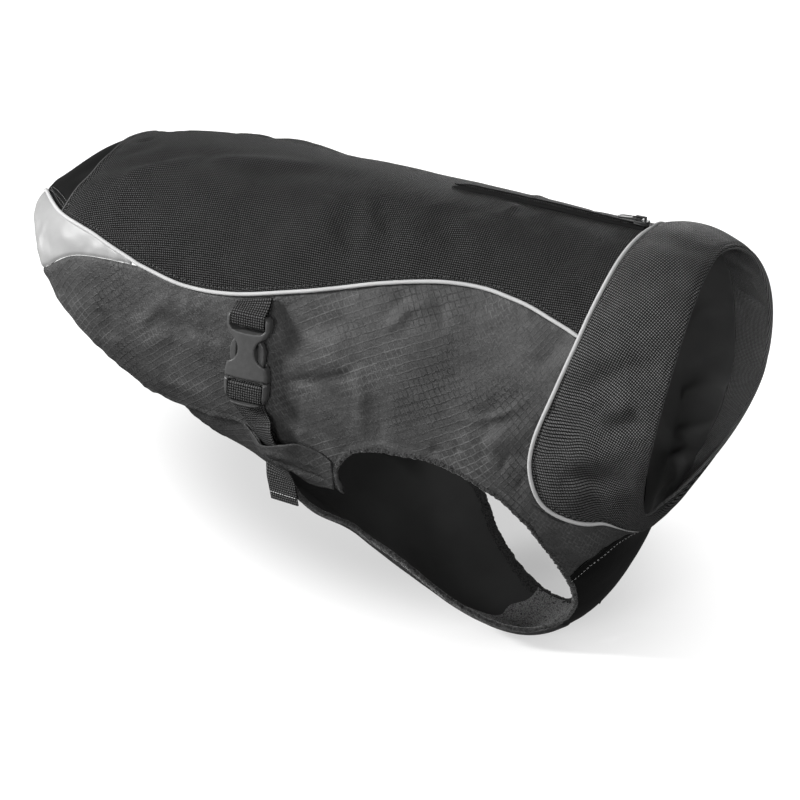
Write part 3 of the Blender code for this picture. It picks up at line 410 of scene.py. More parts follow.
def edge_dip(kind, gap):
    """How the cloth lies beside an edge, by distance from it: under a piping it dives below the
    cord, swells over its seam allowance and is drawn down by the topstitching."""
    if kind == "stitched":
        return (-1.0 * np.exp(-(gap / 1.1) ** 2) + 0.35 * np.exp(-((gap - 2.5) / 1.3) ** 2)
                - 0.75 * np.exp(-((gap - 3.5) / 0.8) ** 2))
    if kind == "tucked":
        return -1.1 * np.exp(-(gap / 1.3) ** 2)
    if kind == "lapped":
        return 0.7 * np.exp(-(gap / 1.2) ** 2) - 0.3 * np.exp(-((gap - 3.6) / 0.8) ** 2)
    if kind == "seam":
        return -0.75 * np.exp(-(gap / 1.0) ** 2)
    if kind == "hem":
        return (-0.6 * np.exp(-(gap / 0.7) ** 2) + 0.3 * np.exp(-((gap - 3) / 2.5) ** 2)
                - 0.35 * np.exp(-((gap - 7.5) / 0.8) ** 2))
    return np.zeros_like(gap)


def cloth(name, places, finishes, centre, out=0.0, wall=SHELL_WALL, edges=("", "", "", ""),
          insets=(0, 0, 0, 0), creases=(), wave=0.35, ripple=0.08, pucker=0.5, seed=1, ring=False,
          inner=False):
    """A panel of cloth: a grid of places on the body surface, trimmed to its seams and lifted by its
    creases, two scales of noise and its edges' dips. Edges are start, end, upper and lower.
    Solidify gives it thickness away from its shown face, and the second finish to the back."""
    if not ring:
        places = trimmed(places, insets[0], insets[1])
    places = trimmed(places.swapaxes(0, 1), insets[2], insets[3]).swapaxes(0, 1)
    if callable(out):
        out = out(places)
    base = section_point(places[..., 0], places[..., 1])
    rise = out + wave * speckle(base, 26.0, seed) + ripple * speckle(base, 7.0, seed + 50)
    free = 1.0
    for axis, names in ((0, edges[:2]), (1, edges[2:])):
        gap = run_length(base, axis)
        for kind, away in ((names[0], gap), (names[1], gap.max(axis, keepdims=True) - gap)):
            rise = rise + edge_dip(kind, away)
            if kind:
                rise = rise + pucker * np.exp(-(away / 9) ** 2) * speckle(base, 5.5, seed + 80)
                free = free * (1 - 0.85 * np.exp(-(away / 6) ** 2))
    rise = rise + creased(places, centre, creases) * free
    points, normals = skin(places[..., 0], places[..., 1], rise)
    if inner:
        normals = -normals
    flat = ring_map(places) if ring else cloth_map(places, centre)
    return sheet_mesh(name, points, normals, flat, finishes, wall, ring)


def quads(grid):
    """The corner numbers of each square of a grid of points."""
    return np.stack((grid[:-1, :-1], grid[1:, :-1], grid[1:, 1:], grid[:-1, 1:]), -1).reshape(-1, 4)


def new_piece(name, spots, faces, finishes, flat=None, body="coat"):
    """A smooth mesh from points in mm and faces, with the flat place in mm of each face corner."""
    mesh = bpy.data.meshes.new(name)
    mesh.from_pydata((spots / 1000).tolist(), [], faces)
    if flat is not None:
        layer = mesh.uv_layers.new(name="cloth")
        layer.data.foreach_set("uv", (flat / 1000).ravel())
    mesh.shade_smooth()
    for finish in finishes:
        mesh.materials.append(finish)
    piece = bpy.data.objects.new(name, mesh)
    bpy.context.scene.collection.objects.link(piece)
    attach(piece, body)
    return piece


def sheet_mesh(name, points, normals, flat, finishes, wall, ring=False):
    """A grid of points made a mesh that faces along its normals, with the flat map as its UVs."""
    rows, columns = points.shape[:2]
    number = np.arange(rows * columns).reshape(rows, columns)
    if ring:
        number = np.vstack((number, number[:1]))
        closing = flat[:1].copy()
        closing[..., 1] = flat[-1:, :, 1] + np.abs(flat[-1:, :, 1] - flat[-2:-1, :, 1])
        flat = np.concatenate((flat, closing))
    faces = quads(number)
    map_faces = quads(np.arange(flat[..., 0].size).reshape(flat.shape[:2]))
    spots = points.reshape(-1, 3)
    shown = np.cross(spots[faces[:, 1]] - spots[faces[:, 0]], spots[faces[:, 3]] - spots[faces[:, 0]])
    if (shown * normals.reshape(-1, 3)[faces[:, 0]]).sum() < 0:
        faces = faces[:, ::-1]
        map_faces = map_faces[:, ::-1]
    piece = new_piece(name, spots, faces.tolist(), finishes, flat.reshape(-1, 2)[map_faces.ravel()])
    solid = piece.modifiers.new("thickness", "SOLIDIFY")
    solid.thickness = wall / 1000
    solid.offset = -1
    solid.material_offset = 1 if len(finishes) > 1 else 0
    return piece


def grey(level):
    """A neutral colour from its sRGB level, 0 to 255."""
    linear = ((level / 255 + 0.055) / 1.055) ** 2.4
    return (linear, linear, linear, 1)


class Level:
    """A number that a finish works out at each point. Sums and products add their nodes."""

    def __init__(self, socket):
        self.socket = socket

    def calc(self, operation, *others):
        values = [self.socket] + [other.socket if isinstance(other, Level) else other for other in others]
        return Level(node(self.socket.id_data, "Math", values, operation=operation).outputs[0])

    def __add__(self, other):
        return self.calc("ADD", other)

    def __sub__(self, other):
        return self.calc("SUBTRACT", other)

    def __mul__(self, other):
        return self.calc("MULTIPLY", other)

    def ramp(self, start, end, low=0.0, high=1.0, kind="LINEAR"):
        """Low to high while the number goes from start to end, and no further outside them."""
        made = node(self.socket.id_data, "MapRange", (self.socket, start, end, low, high),
                    interpolation_type=kind)
        return Level(made.outputs[0])


class Finish:
    """A material in the making: its constants, then the nodes of its colour and its bump."""

    def __init__(self, name, level, roughness, **sockets):
        self.material = bpy.data.materials.new(name)
        self.material.use_nodes = True
        self.tree = self.material.node_tree
        self.shader = self.tree.nodes["Principled BSDF"]
        for key, value in {"Base_Color": grey(level), "Roughness": roughness, **sockets}.items():
            self.shader.inputs[key.replace("_", " ")].default_value = value
        self.place = node(self.tree, "TexCoord").outputs["Object"]

    def noise(self, scale, detail, roughness=0.5):
        """Cloudy noise on the piece's own coordinates, so many to a metre."""
        return Level(node(self.tree, "TexNoise", {"Vector": self.place, "Scale": scale, "Detail": detail,
                                                  "Roughness": roughness}).outputs[0])

    def cells(self, turn, cell, wobble=0.0):
        """The cloth's flat map turned by so many degrees, counted in cells of so many mm. A wobble
        in mm shifts it by noise."""
        cloth = node(self.tree, "UVMap", uv_map="cloth")
        if wobble:
            cloud = node(self.tree, "TexNoise", {"Vector": self.place, "Scale": 160.0}).outputs["Color"]
            shift = node(self.tree, "VectorMath", (cloud, (wobble / 1000, wobble / 1000, 0.0)),
                         operation="MULTIPLY")
            cloth = node(self.tree, "VectorMath", (cloth, shift), operation="ADD")
        turned = node(self.tree, "Mapping", {"Vector": cloth, "Rotation": (0, 0, math.radians(turn)),
                                             "Scale": (1000 / cell,) * 3})
        split = node(self.tree, "SeparateXYZ", (turned,))
        return Level(split.outputs[0]), Level(split.outputs[1])

    def colour(self, share, low, high):
        """Grey mixed from a low level to a high one."""
        mixed = node(self.tree, "Mix", {0: share.socket, 6: grey(low), 7: grey(high)}, data_type="RGBA")
        self.tree.links.new(mixed.outputs[2], self.shader.inputs["Base Color"])

    def bump(self, height, strength, distance):
        made = node(self.tree, "Bump", {"Strength": strength, "Distance": distance, "Height": height.socket})
        self.tree.links.new(made.outputs[0], self.shader.inputs["Normal"])
        return self.material


def basket_height(finish, turn, cell):
    """Basket weave from the cloth's map: in each cell the threads of one direction lie on top. The
    height is the root of a half sine along the cell, times that across it, times a ripple for each
    of the two threads."""
    x, y = finish.cells(turn, cell)

    def crown(level):
        return (level * math.pi).calc("SINE").calc("ABSOLUTE").calc("SQRT")

    def threads(level):
        return (level * (2 * math.pi)).calc("SINE").calc("ABSOLUTE") * 0.25 + 0.75

    odd = (x.calc("FLOOR") + y.calc("FLOOR")).calc("FLOORED_MODULO", 2.0)
    return crown(x) * crown(y) * (threads(x) + (threads(y) - threads(x)) * odd)


def weave_finish(name, turn, painted_shade_gap_level, crown_level, roughness=0.5, cell=WEAVE_CELL):
    """Coarse nylon: gaps painted near black as painted shade between the threads, lighter crowns, a little
    mottling, and the weave as bump.
    """
    finish = Finish(name, crown_level, roughness, Specular_IOR_Level=0.15)
    height = basket_height(finish, turn, cell)
    crowns_over_painted_shade = height.ramp(0.54, 0.90, kind="SMOOTHSTEP")
    mottle = finish.noise(60, 3) * 0.8 + 0.6
    fibre = finish.noise(900, 2) * 0.9 + 0.55
    # The low gaps between crowns are painted near black: painted shade between the threads.
    finish.colour(crowns_over_painted_shade * mottle * fibre, painted_shade_gap_level, crown_level)
    return finish.bump(height, 1.0, 0.0007)


def lining_finish():
    """Smooth dark tricot inside the shell, softly mottled where its nap lies both ways."""
    finish = Finish("body lining", 34, 0.8, Specular_IOR_Level=0.15)
    finish.colour(finish.noise(28, 4), 46, 66)
    return finish.bump(finish.noise(1400, 1), 0.25, 0.0002)


weave_back = weave_finish("basket weave nylon, back", 4, 1, 75)
body_lining = lining_finish()
side_stretches = (trace(SIDE_SEAM, 0, 1, 12), trace(SIDE_SEAM, 1, 3, 20),
                  trace(SIDE_SEAM, 3, 4, 4), trace(SIDE_SEAM, 4, 13, 110))
collar_stretches = (trace(COLLAR_SEAM, 0, 3, 48), trace(COLLAR_SEAM, 3, 6, 30),
                    trace(COLLAR_SEAM, 6, 12, 62))
half_rear = whole(BACK_REAR, 48)
back_rear = chain(mirrored(half_rear)[::-1], half_rear)
back_front = chain(mirrored(collar_stretches[0])[::-1], collar_stretches[0])
back_side = chain(*side_stretches[1:])
BACK_CREASES = (
    # row  degrees  row  degrees  bow  width  rise  lean
    (1.50, 32, 2.33, 16, 2, 5, 2.25, 0.9),
    (2.25, 18, 3.40, 7, 1, 6, 1.95, 0.9),
    (1.25, 20, 1.75, 11, 1, 6, -1.8, 0),
    (1.30, 8, 1.55, 5, 0, 3, -2.1, 0),
    (2.84, 65, 3.49, 37, -3, 13, -3.45, 0),
    (3.74, 55, 3.77, 25, 2, 10, 2.55, 0.3),
    (4.03, 27, 4.32, 49, 1, 8, -2.85, 0),
    (4.18, 23, 4.57, 47, -1, 6, 1.5, 0),
    (4.28, 19, 4.75, 37, 1, 7, -1.95, 0),
    (4.76, 24, 5.29, 41, 1, 8, 1.65, 0),
    (5.09, 16, 5.85, 38, -1, 8, -2.1, 0),
    (5.75, 16, 6.31, 36, 1, 8, 1.35, 0),
    (6.37, 4, 6.34, 16, 0, 4, 1.95, 0),
    (7.00, 8, 8.35, 24, 2, 8, -2.25, 0),
    (7.73, 32, 8.71, 19, 2, 7, -2.55, 0),
    (8.39, 42, 9.39, 32, 1, 6, 1.65, 0),
    (1.19, 51, 2.05, 64, 4, 9, -1.65, 0),
    (1.36, 63, 2.25, 69, 2, 6, 1.35, 0),
    (2.77, 22, 3.59, 11, 4, 12, -1.35, 0),
    (1.62, -34, 2.54, -20, -2, 5, 2.55, -0.9),
    (2.23, -22, 3.41, -13, -1, 6, 1.65, -0.9),
    (1.12, -20, 1.64, -8, -1, 6, -1.65, 0),
    (1.51, -10, 1.69, -9, 0, 3, -1.8, 0),
    (2.65, -61, 3.38, -31, 3, 13, -3, 0),
    (4.41, -23, 4.84, -46, 1, 6, 1.65, 0),
    (4.51, -22, 4.94, -39, -1, 7, -1.65, 0),
    (4.54, -22, 5.09, -36, -1, 8, 1.65, 0),
    (4.99, -19, 5.75, -39, 1, 8, -2.1, 0),
    (5.53, -20, 5.99, -41, -1, 8, 1.5, 0),
    (6.51, -3, 6.50, -12, 0, 4, 1.65, 0),
    (7.23, -6, 8.63, -24, -2, 8, -2.55, 0),
    (7.66, -32, 8.69, -17, -2, 7, -2.7, 0),
    (1.58, -60, 2.44, -66, -2, 6, 1.5, 0),
    (2.98, -22, 3.76, -10, -4, 12, -1.2, 0),
)
back = cloth("back_cloth", patch(back_rear, back_front, mirrored(back_side), back_side),
             (weave_back, body_lining), centre=0, insets=(0.2, 0.25, 0.25, 0.25),
             edges=("lapped", "tucked", "stitched", "stitched"), creases=BACK_CREASES, seed=3)
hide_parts("back_panel")

# The tail panel: smooth black polyester sewn under the back panel's rear edge, which is folded to a
# thin lip, with two rows of light topstitching across its lower corners.
TAIL_HEM = np.array([(0.00, 0.0), (0.00, 12.0), (0.00, 21.5)])
TAIL_STITCH_ROWS = (0.10, 0.72)
TAIL_STITCH_TURNS = (27.0, 51.5)


def smooth_finish(name, level, roughness=0.42, gloss=0.3):
    """Smooth close-woven polyester with a satin gloss and a very fine grain."""
    finish = Finish(name, level, roughness, Specular_IOR_Level=gloss)
    finish.colour(finish.noise(45, 4), level * 0.85, level * 1.15)
    return finish.bump(finish.noise(120, 2) * 2.0 + finish.noise(1600, 1), 0.25, 0.0003)


def thread_finish(name, level):
    """Polyester thread: fine slanting plies."""
    finish = Finish(name, level, 0.5, Sheen_Weight=0.2)
    waves = node(finish.tree, "TexWave", {"Vector": finish.place, "Scale": 900.0, "Distortion": 2.0})
    plies = Level(waves.outputs["Fac"])
    finish.colour(plies, level * 0.8, level * 1.2)
    return finish.bump(plies, 0.2, 0.0001)


def directions(points, normals):
    """Unit vectors along a path and across it, with the normals made square to the path."""
    along = np.gradient(points, axis=0)
    along /= np.linalg.norm(along, axis=-1, keepdims=True)
    square = normals - (normals * along).sum(-1, keepdims=True) * along
    square /= np.linalg.norm(square, axis=-1, keepdims=True)
    return along, np.cross(along, square), square


def rounded(half_width, half_height, power, sides):
    """Superellipse outline, as (across, out) pairs."""
    angle = np.linspace(0, 2 * np.pi, sides, endpoint=False)
    across = np.sign(np.cos(angle)) * np.abs(np.cos(angle)) ** (2 / power)
    out = np.sign(np.sin(angle)) * np.abs(np.sin(angle)) ** (2 / power)
    return np.stack((half_width * across, half_height * out), -1)


def swept(name, middle, side, normal, outline, finish):
    """A closed outline carried along a path: ring k is the path's point k plus the outline's first
    number times side plus its second times normal. Its ends are closed with a face each."""
    outline = np.broadcast_to(outline, (len(middle),) + outline.shape[-2:])
    rings = middle[:, None] + side[:, None] * outline[..., :1] + normal[:, None] * outline[..., 1:2]
    count, sides = rings.shape[:2]
    number = np.arange(count * sides).reshape(count, sides)
    map_number = np.arange(count * (sides + 1)).reshape(count, sides + 1)
    walls = quads(np.hstack((number, number[:, :1])))
    faces = walls.tolist() + [number[0, ::-1].tolist(), number[-1].tolist()]
    map_faces = quads(map_number).tolist() + [map_number[0, -2::-1].tolist(), map_number[-1, :-1].tolist()]
    spots = rings.reshape(-1, 3)
    a, b, c, d = (spots[walls[:, k]] for k in range(4))
    if (np.cross(b, c) * a).sum() + (np.cross(c, d) * a).sum() < 0:
        faces, map_faces = ([face[::-1] for face in part] for part in (faces, map_faces))
    around = run_length(np.concatenate((outline, outline[:, :1]), 1), 1)
    flat = np.stack(np.broadcast_arrays(run_length(middle)[:, None], around), -1).reshape(-1, 2)
    return new_piece(name, spots, faces, [finish], flat[np.concatenate(map_faces)])


def stitches(name, points, normals, finish, length=1.7, width=0.55, high=0.35, pitch=2.7):
    """A row of thread stitches: low spindles laid along a path, one every pitch."""
    along, side, normal = directions(points, normals)
    reach = run_length(points)
    wanted = np.arange(pitch / 2, reach[-1], pitch)
    origin, along, side, normal = (
        np.stack([np.interp(wanted, reach, values[:, k]) for k in range(3)], -1)[:, None, None]
        for values in (points, along, side, normal))
    ring = np.linspace(0, 2 * np.pi, 6, endpoint=False)
    station = np.array((-1, -0.6, 0, 0.6, 1.0))[:, None]
    swell = np.array((0.15, 0.8, 1.0, 0.8, 0.15))[:, None]
    spots = (origin + along * (station + 0 * ring)[..., None] * length / 2
             + side * (swell * np.cos(ring))[..., None] * width / 2
             + normal * (swell * np.sin(ring))[..., None] * high)
    number = np.arange(spots[..., 0].size).reshape(spots.shape[:3])
    turn = np.roll(number, -1, 2)
    walls = np.stack((number[:, :-1], turn[:, :-1], turn[:, 1:], number[:, 1:]), -1).reshape(-1, 4)
    caps = np.concatenate((number[:, 0, ::-1], number[:, -1]))
    return new_piece(name, spots.reshape(-1, 3), walls.tolist() + caps.tolist(), [finish])


satin_black = smooth_finish("smooth black polyester", 10, 0.5, 0.13)
half_hem = whole(TAIL_HEM, 48)
tail_hem = chain(mirrored(half_hem)[::-1], half_hem)
tail = cloth("tail_cloth", patch(tail_hem, back_rear, mirrored(side_stretches[0]), side_stretches[0]),
             (satin_black, body_lining), centre=0, insets=(0, 0, 0.25, 0.25), out=-0.4,
             edges=("hem", "", "tucked", "tucked"), seed=7)
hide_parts("tail_panel")

# The lip is a real rolled edge; its cloth is painted lighter than the back's weave as a painted highlight
# along the fold.
points, normals = skin(back_rear[:, 0], back_rear[:, 1], 0.55)
highlight_lip = swept("back_rear_fold", points, *directions(points, normals)[1:], rounded(0.6, 0.5, 2, 10),
             smooth_finish("folded edge, painted highlight", 66, 0.6))
grey_thread = thread_finish("grey thread", 90)
points, normals = skin(np.linspace(*TAIL_STITCH_ROWS, 40), np.linspace(*TAIL_STITCH_TURNS, 40), 0.2)
_, across, _ = directions(points, normals)
for step, drop in enumerate((2.4, 5.0)):
    for label, hand in (("right", 1), ("left", -1)):
        row = stitches("tail_topstitch_%d_%s" % (step, label),
                       (points + across * np.sign(across[:, 2:3]) * drop) * (1, hand, 1),
                       normals * (1, hand, 1), grey_thread, length=1.6, width=0.4, high=0.2)

# The side panels: grey ripstop, its reinforcing grid painted lighter in patches as a painted sheen. Each is
# sewn to the back under the side piping, to the chest in front, and hemmed along its lower rear edge.
WEDGE_EDGE = np.array([(0.14, 78.0), (0.74, 74.8), (1.35, 74.2), (1.80, 73.7)])
WEDGE_HEM = np.array([(0.00, 21.5), (-0.04, 33.0), (0.01, 47.0), (0.09, 62.0), (0.14, 78.0)])
SIDE_HEM = np.array([
    (0.14, 78.0), (0.34, 95.0), (0.56, 105.0), (0.83, 115.5), (1.15, 124.5), (1.50, 130.0),
])
LOWER_HEM = np.array([
    (1.50, 130.0), (1.85, 128.8), (2.26, 125.6), (2.52, 123.4), (2.76, 120.4), (3.03, 117.8),
    (3.75, 117.8), (4.47, 119.8),
])
LEG_EDGE = np.array([
    (4.47, 119.8), (4.40, 112.0), (4.62, 104.0), (5.00, 100.0), (5.40, 98.0), (5.85, 95.6),
    (6.30, 95.2), (6.80, 96.8), (7.29, 101.5), (7.68, 109.0), (7.92, 115.8), (8.16, 125.2),
    (8.26, 132.5), (8.30, 138.5),
])
CHEST_LEG_EDGE = np.array([(8.30, 138.5), (8.28, 146.0), (8.12, 154.0), (7.86, 159.0), (7.55, 161.0)])
CHEST_SEAM = np.array([(8.30, 138.5), (8.98, 141.6), (9.69, 150.5), (10.43, 162.5), (11.02, 171.0)])
RIPSTOP_CELL = 4.1


def ripstop_finish(name, turn):
    """Ripstop: a speckled ground crossed by thicker threads, whose colour is painted lighter in some
    patches and darker in others as a painted sheen. Where a slow noise is high, alternate rows shift
    half a cell and their lines zigzag, y plus a cosine of x times a cosine of y, so the squares close
    up like honeycomb."""
    finish = Finish(name, 80, 0.5, Specular_IOR_Level=0.2)
    x, y = finish.cells(turn, RIPSTOP_CELL, wobble=1.6)
    honey = finish.noise(17, 1).ramp(0.46, 0.56)
    zigzag = (x * (2 * math.pi)).calc("COSINE") * (y * math.pi).calc("COSINE")
    y = zigzag * honey * 0.17 + y
    x = y.calc("FLOOR").calc("FLOORED_MODULO", 2.0) * honey * 0.5 + x
    across, along = (level.calc("PINGPONG", 0.5).ramp(0.05, 0.13, 1.0, 0.0, "SMOOTHSTEP") for level in (x, y))
    line = across.calc("MAXIMUM", along)
    area = finish.noise(26, 2)
    # Painted sheen: the thread lines are lighter in some patches and darker in others.
    painted_sheen = area.ramp(0.51, 0.62, 0.0, 1.5) - area.ramp(0.47, 0.38, 0.0, 0.8)
    painted_sheen = painted_sheen * (finish.noise(700, 2) * 2.4 - 0.4)
    dents = finish.noise(150, 4)
    specks = finish.noise(1000, 3, 0.7)
    ground = dents * 0.35 + specks.calc("POWER", 1.6) * 0.85 + finish.noise(30, 3) * 0.30 - 0.15
    finish.colour(line * painted_sheen * 0.32 + ground, 26, 87)
    return finish.bump(dents * 2.4 + line * 0.45 + specks, 0.7, 0.0006)


ripstop = ripstop_finish("grey ripstop", 38)
wedge_cells = 32
wedge_edge = whole(WEDGE_EDGE, wedge_cells)
leg_line = chain(trace(LEG_EDGE, 0, 5, 50), trace(LEG_EDGE, 5, 8, 56), trace(LEG_EDGE, 8, 13, 44))
side_upper = chain(wedge_edge, np.linspace(wedge_edge[-1], side_stretches[2][-1], 5),
                   side_stretches[3], collar_stretches[1], collar_stretches[2])
hem_cells = len(side_upper) - len(leg_line)
side_lower = chain(whole(LOWER_HEM, hem_cells), leg_line)
side_start = whole(SIDE_HEM, 70)
side_end = whole(CHEST_SEAM, 70)[::-1]
SIDE_CREASES = {1: (
    (1.12, 88, 1.12, 96, 0, 4, 1.08, 0),
    (1.31, 94, 1.31, 107, 2, 6, -1.92, 0.3),
    (1.73, 99, 2.39, 81, -2, 5, 1.92, -0.5),
    (2.52, 77, 2.52, 89, 0, 4, 1.44, 0),
    (2.67, 83, 2.86, 92, 1, 7, -2.04, 0),
    (2.20, 93, 2.62, 90, 1, 7, -2.04, 0),
    (1.69, 108, 2.41, 91, -2, 5, 1.44, 0.4),
    (2.40, 91, 2.65, 99, -2, 5, 1.44, -0.4),
    (0.62, 93, 0.92, 117, 5, 9, 1.08, 0),
    (0.79, 106, 1.15, 122, 3, 8, -1.32, 0),
    (1.72, 119, 2.71, 112, -2, 6, 1.32, 0),
    (3.83, 77, 4.51, 66, 2, 7, -2.4, 0),
    (3.88, 82, 4.51, 74, 1, 8, 1.32, 0),
    (4.98, 66, 5.37, 55, -1, 3.6, 2.28, 0.7),
    (5.28, 56, 5.66, 51, 0, 4, 1.44, 0.5),
    (4.87, 63, 5.20, 53, 1, 4, -1.44, 0),
    (4.93, 53, 5.21, 56, 0, 3, -1.68, 0),
    (4.74, 79, 4.84, 97, 2, 5.5, 2.64, 0.5),
    (4.98, 85, 5.06, 97, -1, 6, -2.16, 0),
    (4.55, 86, 4.62, 98, 1, 7, -1.08, 0),
    (3.64, 94, 4.65, 82, 1, 3.5, -2.04, 0),
    (3.69, 90, 4.62, 78, 1, 7, 1.8, 0.5),
    (7.87, 67, 8.70, 53, 4, 12, -3, 0),
    (5.79, 52, 6.04, 60, 1, 5, -1.92, 0),
    (6.88, 75, 7.25, 82, 1, 6, -2.16, 0),
    (6.18, 80, 8.07, 73, 1, 3, 1.32, 0.5),
    (6.82, 83, 7.06, 88, 0, 3, -1.8, 0),
    (6.35, 91, 6.48, 86, 0, 2.6, -1.44, 0),
    (5.98, 94, 6.04, 89, 0, 2.4, -1.2, 0),
    (7.29, 93, 7.52, 87, 0, 3, -1.56, 0),
    (7.66, 100, 7.97, 93, 0, 3, -1.44, 0),
    (8.16, 109, 8.48, 102, 0, 3, -1.32, 0),
    (5.26, 70, 6.37, 48, 3, 11, 1.8, 0),
    (5.77, 77, 7.62, 57, -4, 12, -1.68, 0),
    (6.42, 85, 8.30, 80, 2, 8, 1.44, 0),
    (3.61, 70, 3.69, 85, 1, 6, -2.04, 0),
    (3.61, 98, 3.91, 105, 2, 8, -2.76, 0),
    (3.89, 96, 4.47, 101, -2, 9, 1.44, 0),
    (4.16, 89, 4.54, 94, 2, 7, -1.2, 0),
    (7.32, 83, 8.36, 96, 2, 7, -1.44, 0),
    (6.42, 54, 7.38, 45, 1, 8, 1.2, 0),
), -1: (
    (0.94, -90, 1.04, -95, 0, 4, 0.84, 0),
    (1.68, -97, 2.36, -81, 2, 5, 1.8, 0.5),
    (2.30, -80, 2.20, -92, 0, 4, 1.56, 0),
    (2.79, -87, 3.00, -97, -1, 7, -1.68, 0),
    (2.02, -96, 2.40, -92, -1, 7, -2.4, 0),
    (0.61, -95, 0.91, -118, -5, 9, 0.96, 0),
    (0.73, -110, 1.18, -127, -3, 8, -1.32, 0),
    (1.51, -117, 2.56, -112, 2, 6, 1.2, 0),
    (5.06, -68, 5.42, -58, 1, 3.6, 2.04, -0.7),
    (5.41, -58, 5.75, -55, 0, 4, 1.44, -0.5),
    (4.63, -63, 4.91, -54, -1, 4, -1.44, 0),
    (4.89, -78, 5.02, -97, -2, 5.5, 2.88, -0.5),
    (5.15, -88, 5.27, -103, 1, 6, -2.4, 0),
    (4.56, -83, 4.70, -98, -1, 7, -1.08, 0),
    (3.75, -96, 4.69, -86, -1, 3.5, -2.04, 0),
    (3.65, -91, 4.64, -80, -1, 7, 1.92, -0.5),
    (7.70, -67, 8.56, -51, -4, 12, -3.12, 0),
    (5.56, -52, 5.76, -57, -1, 5, -1.68, 0),
    (6.72, -73, 7.00, -79, -1, 6, -2.04, 0),
    (6.23, -78, 8.20, -68, -1, 3, 1.2, -0.5),
    (6.78, -80, 7.08, -84, 0, 3, -1.44, 0),
    (6.15, -91, 6.25, -87, 0, 2.6, -1.68, 0),
    (7.45, -94, 7.65, -86, 0, 3, -1.56, 0),
    (7.89, -104, 8.22, -96, 0, 3, -1.56, 0),
    (7.96, -110, 8.31, -100, 0, 3, -1.32, 0),
    (5.74, -75, 7.54, -58, 4, 12, -1.56, 0),
    (3.49, -102, 3.79, -108, -2, 8, -2.52, 0),
    (4.05, -89, 4.36, -95, -2, 7, -1.2, 0),
    (7.46, -86, 8.40, -99, -2, 7, -1.32, 0),
)}
for label, hand in (("right", 1), ("left", -1)):
    side = cloth("side_cloth_" + label, patch(side_start, side_end, side_upper, side_lower) * (1, hand),
                 (ripstop, body_lining), centre=90 * hand, insets=(0, 0.2, 0.25, 0.0),
                 edges=("hem", "seam", "tucked", "hem"), creases=SIDE_CREASES[hand], pucker=0.75,
                 seed=11 + hand)
    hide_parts("side_panel_" + label)

# The reflector wedges: silver reflective cloth let into the rear corner of each side, between the
# side piping and the side panel.


def silver_finish():
    """Glass-bead reflective cloth: pale satin silver with a few soft creases."""
    finish = Finish("reflective cloth", 165, 0.45, Specular_IOR_Level=0.3)
    finish.colour(finish.noise(70, 4), 134, 152)
    return finish.bump(finish.noise(2200, 1), 0.12, 0.0002)


silver = silver_finish()
WEDGE_CREASES = (
    (0.32, 50, 0.12, 73, 1, 2.2, 0.9, 0.5),
    (0.30, 58, 0.42, 74, -1, 2.5, -0.8, 0),
    (0.60, 60, 0.95, 70, 1, 4, 0.7, 0),
)
seam_top = chain(*side_stretches[:2])
wedge_rear = whole(WEDGE_HEM, 40)
wedge_tip = np.linspace(seam_top[-1], wedge_edge[-1], 41)
for label, hand in (("right", 1), ("left", -1)):
    wedge = cloth("reflector_cloth_" + label, patch(wedge_rear, wedge_tip, seam_top, wedge_edge) * (1, hand),
                  (silver, body_lining), centre=60 * hand, insets=(0, 1.2, 0.25, 0.0),
                  edges=("hem", "tucked", "tucked", "tucked"), seed=21 + hand, wave=0.25, ripple=0.05,
                  creases=np.array(WEDGE_CREASES) * (1, hand, 1, hand, hand, 1, 1, hand))
    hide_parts("reflector_" + label)

# The piping: light grey bias cloth round a cord, caught in the side seams. Dark topstitching runs
# beside it on the back panel.
PIPING_RADIUS = 1.25
PIPING_OUT = 0.9


def piping_cord(name, points, normals, finish):
    """A round covered cord, its ends rounded off."""
    _, side, normal = directions(points, normals)
    step = np.linalg.norm(np.diff(points, axis=0), axis=-1).mean()
    away = np.minimum(np.arange(len(points)), np.arange(len(points))[::-1]) * step
    scale = np.sqrt(np.clip(1 - np.clip(1 - away / PIPING_RADIUS, 0, 0.97) ** 2, 0, 1))
    outline = rounded(PIPING_RADIUS, PIPING_RADIUS, 2, 14) * scale[:, None, None]
    return swept(name, points, side, normal, outline, finish)


def piping_finish():
    """Pale twill cut on the bias: fine slanting ribs round the cord."""
    finish = Finish("light piping", 190, 0.6, Specular_IOR_Level=0.2)
    turned = node(finish.tree, "Mapping", {"Vector": node(finish.tree, "UVMap", uv_map="cloth"),
                                           "Rotation": (0, 0, math.radians(38))})
    waves = node(finish.tree, "TexWave", {"Vector": turned, "Scale": 700.0, "Distortion": 1.0, "Detail": 1.0})
    ribs = Level(waves.outputs["Fac"])
    finish.colour(finish.noise(60, 3) * 0.6 + ribs * 0.4, 160, 196)
    return finish.bump(ribs, 0.3, 0.0002)


light_piping = piping_finish()
dark_thread = thread_finish("dark thread", 16)
seam_line = chain(*side_stretches)
for label, hand in (("right", 1), ("left", -1)):
    points, normals = skin(seam_line[:, 0], seam_line[:, 1] * hand, PIPING_OUT)
    piping = piping_cord("side_piping_cord_" + label, points, normals, light_piping)
    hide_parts("side_piping_" + label)
    _, across, normal = directions(points, normals)
    over_back = across * np.sign(across[:, 2:3]) * 3.4
    row = stitches("side_topstitch_" + label, points + over_back - normal * (PIPING_OUT - 0.05), normals,
                   dark_thread, length=2.0, width=0.7)

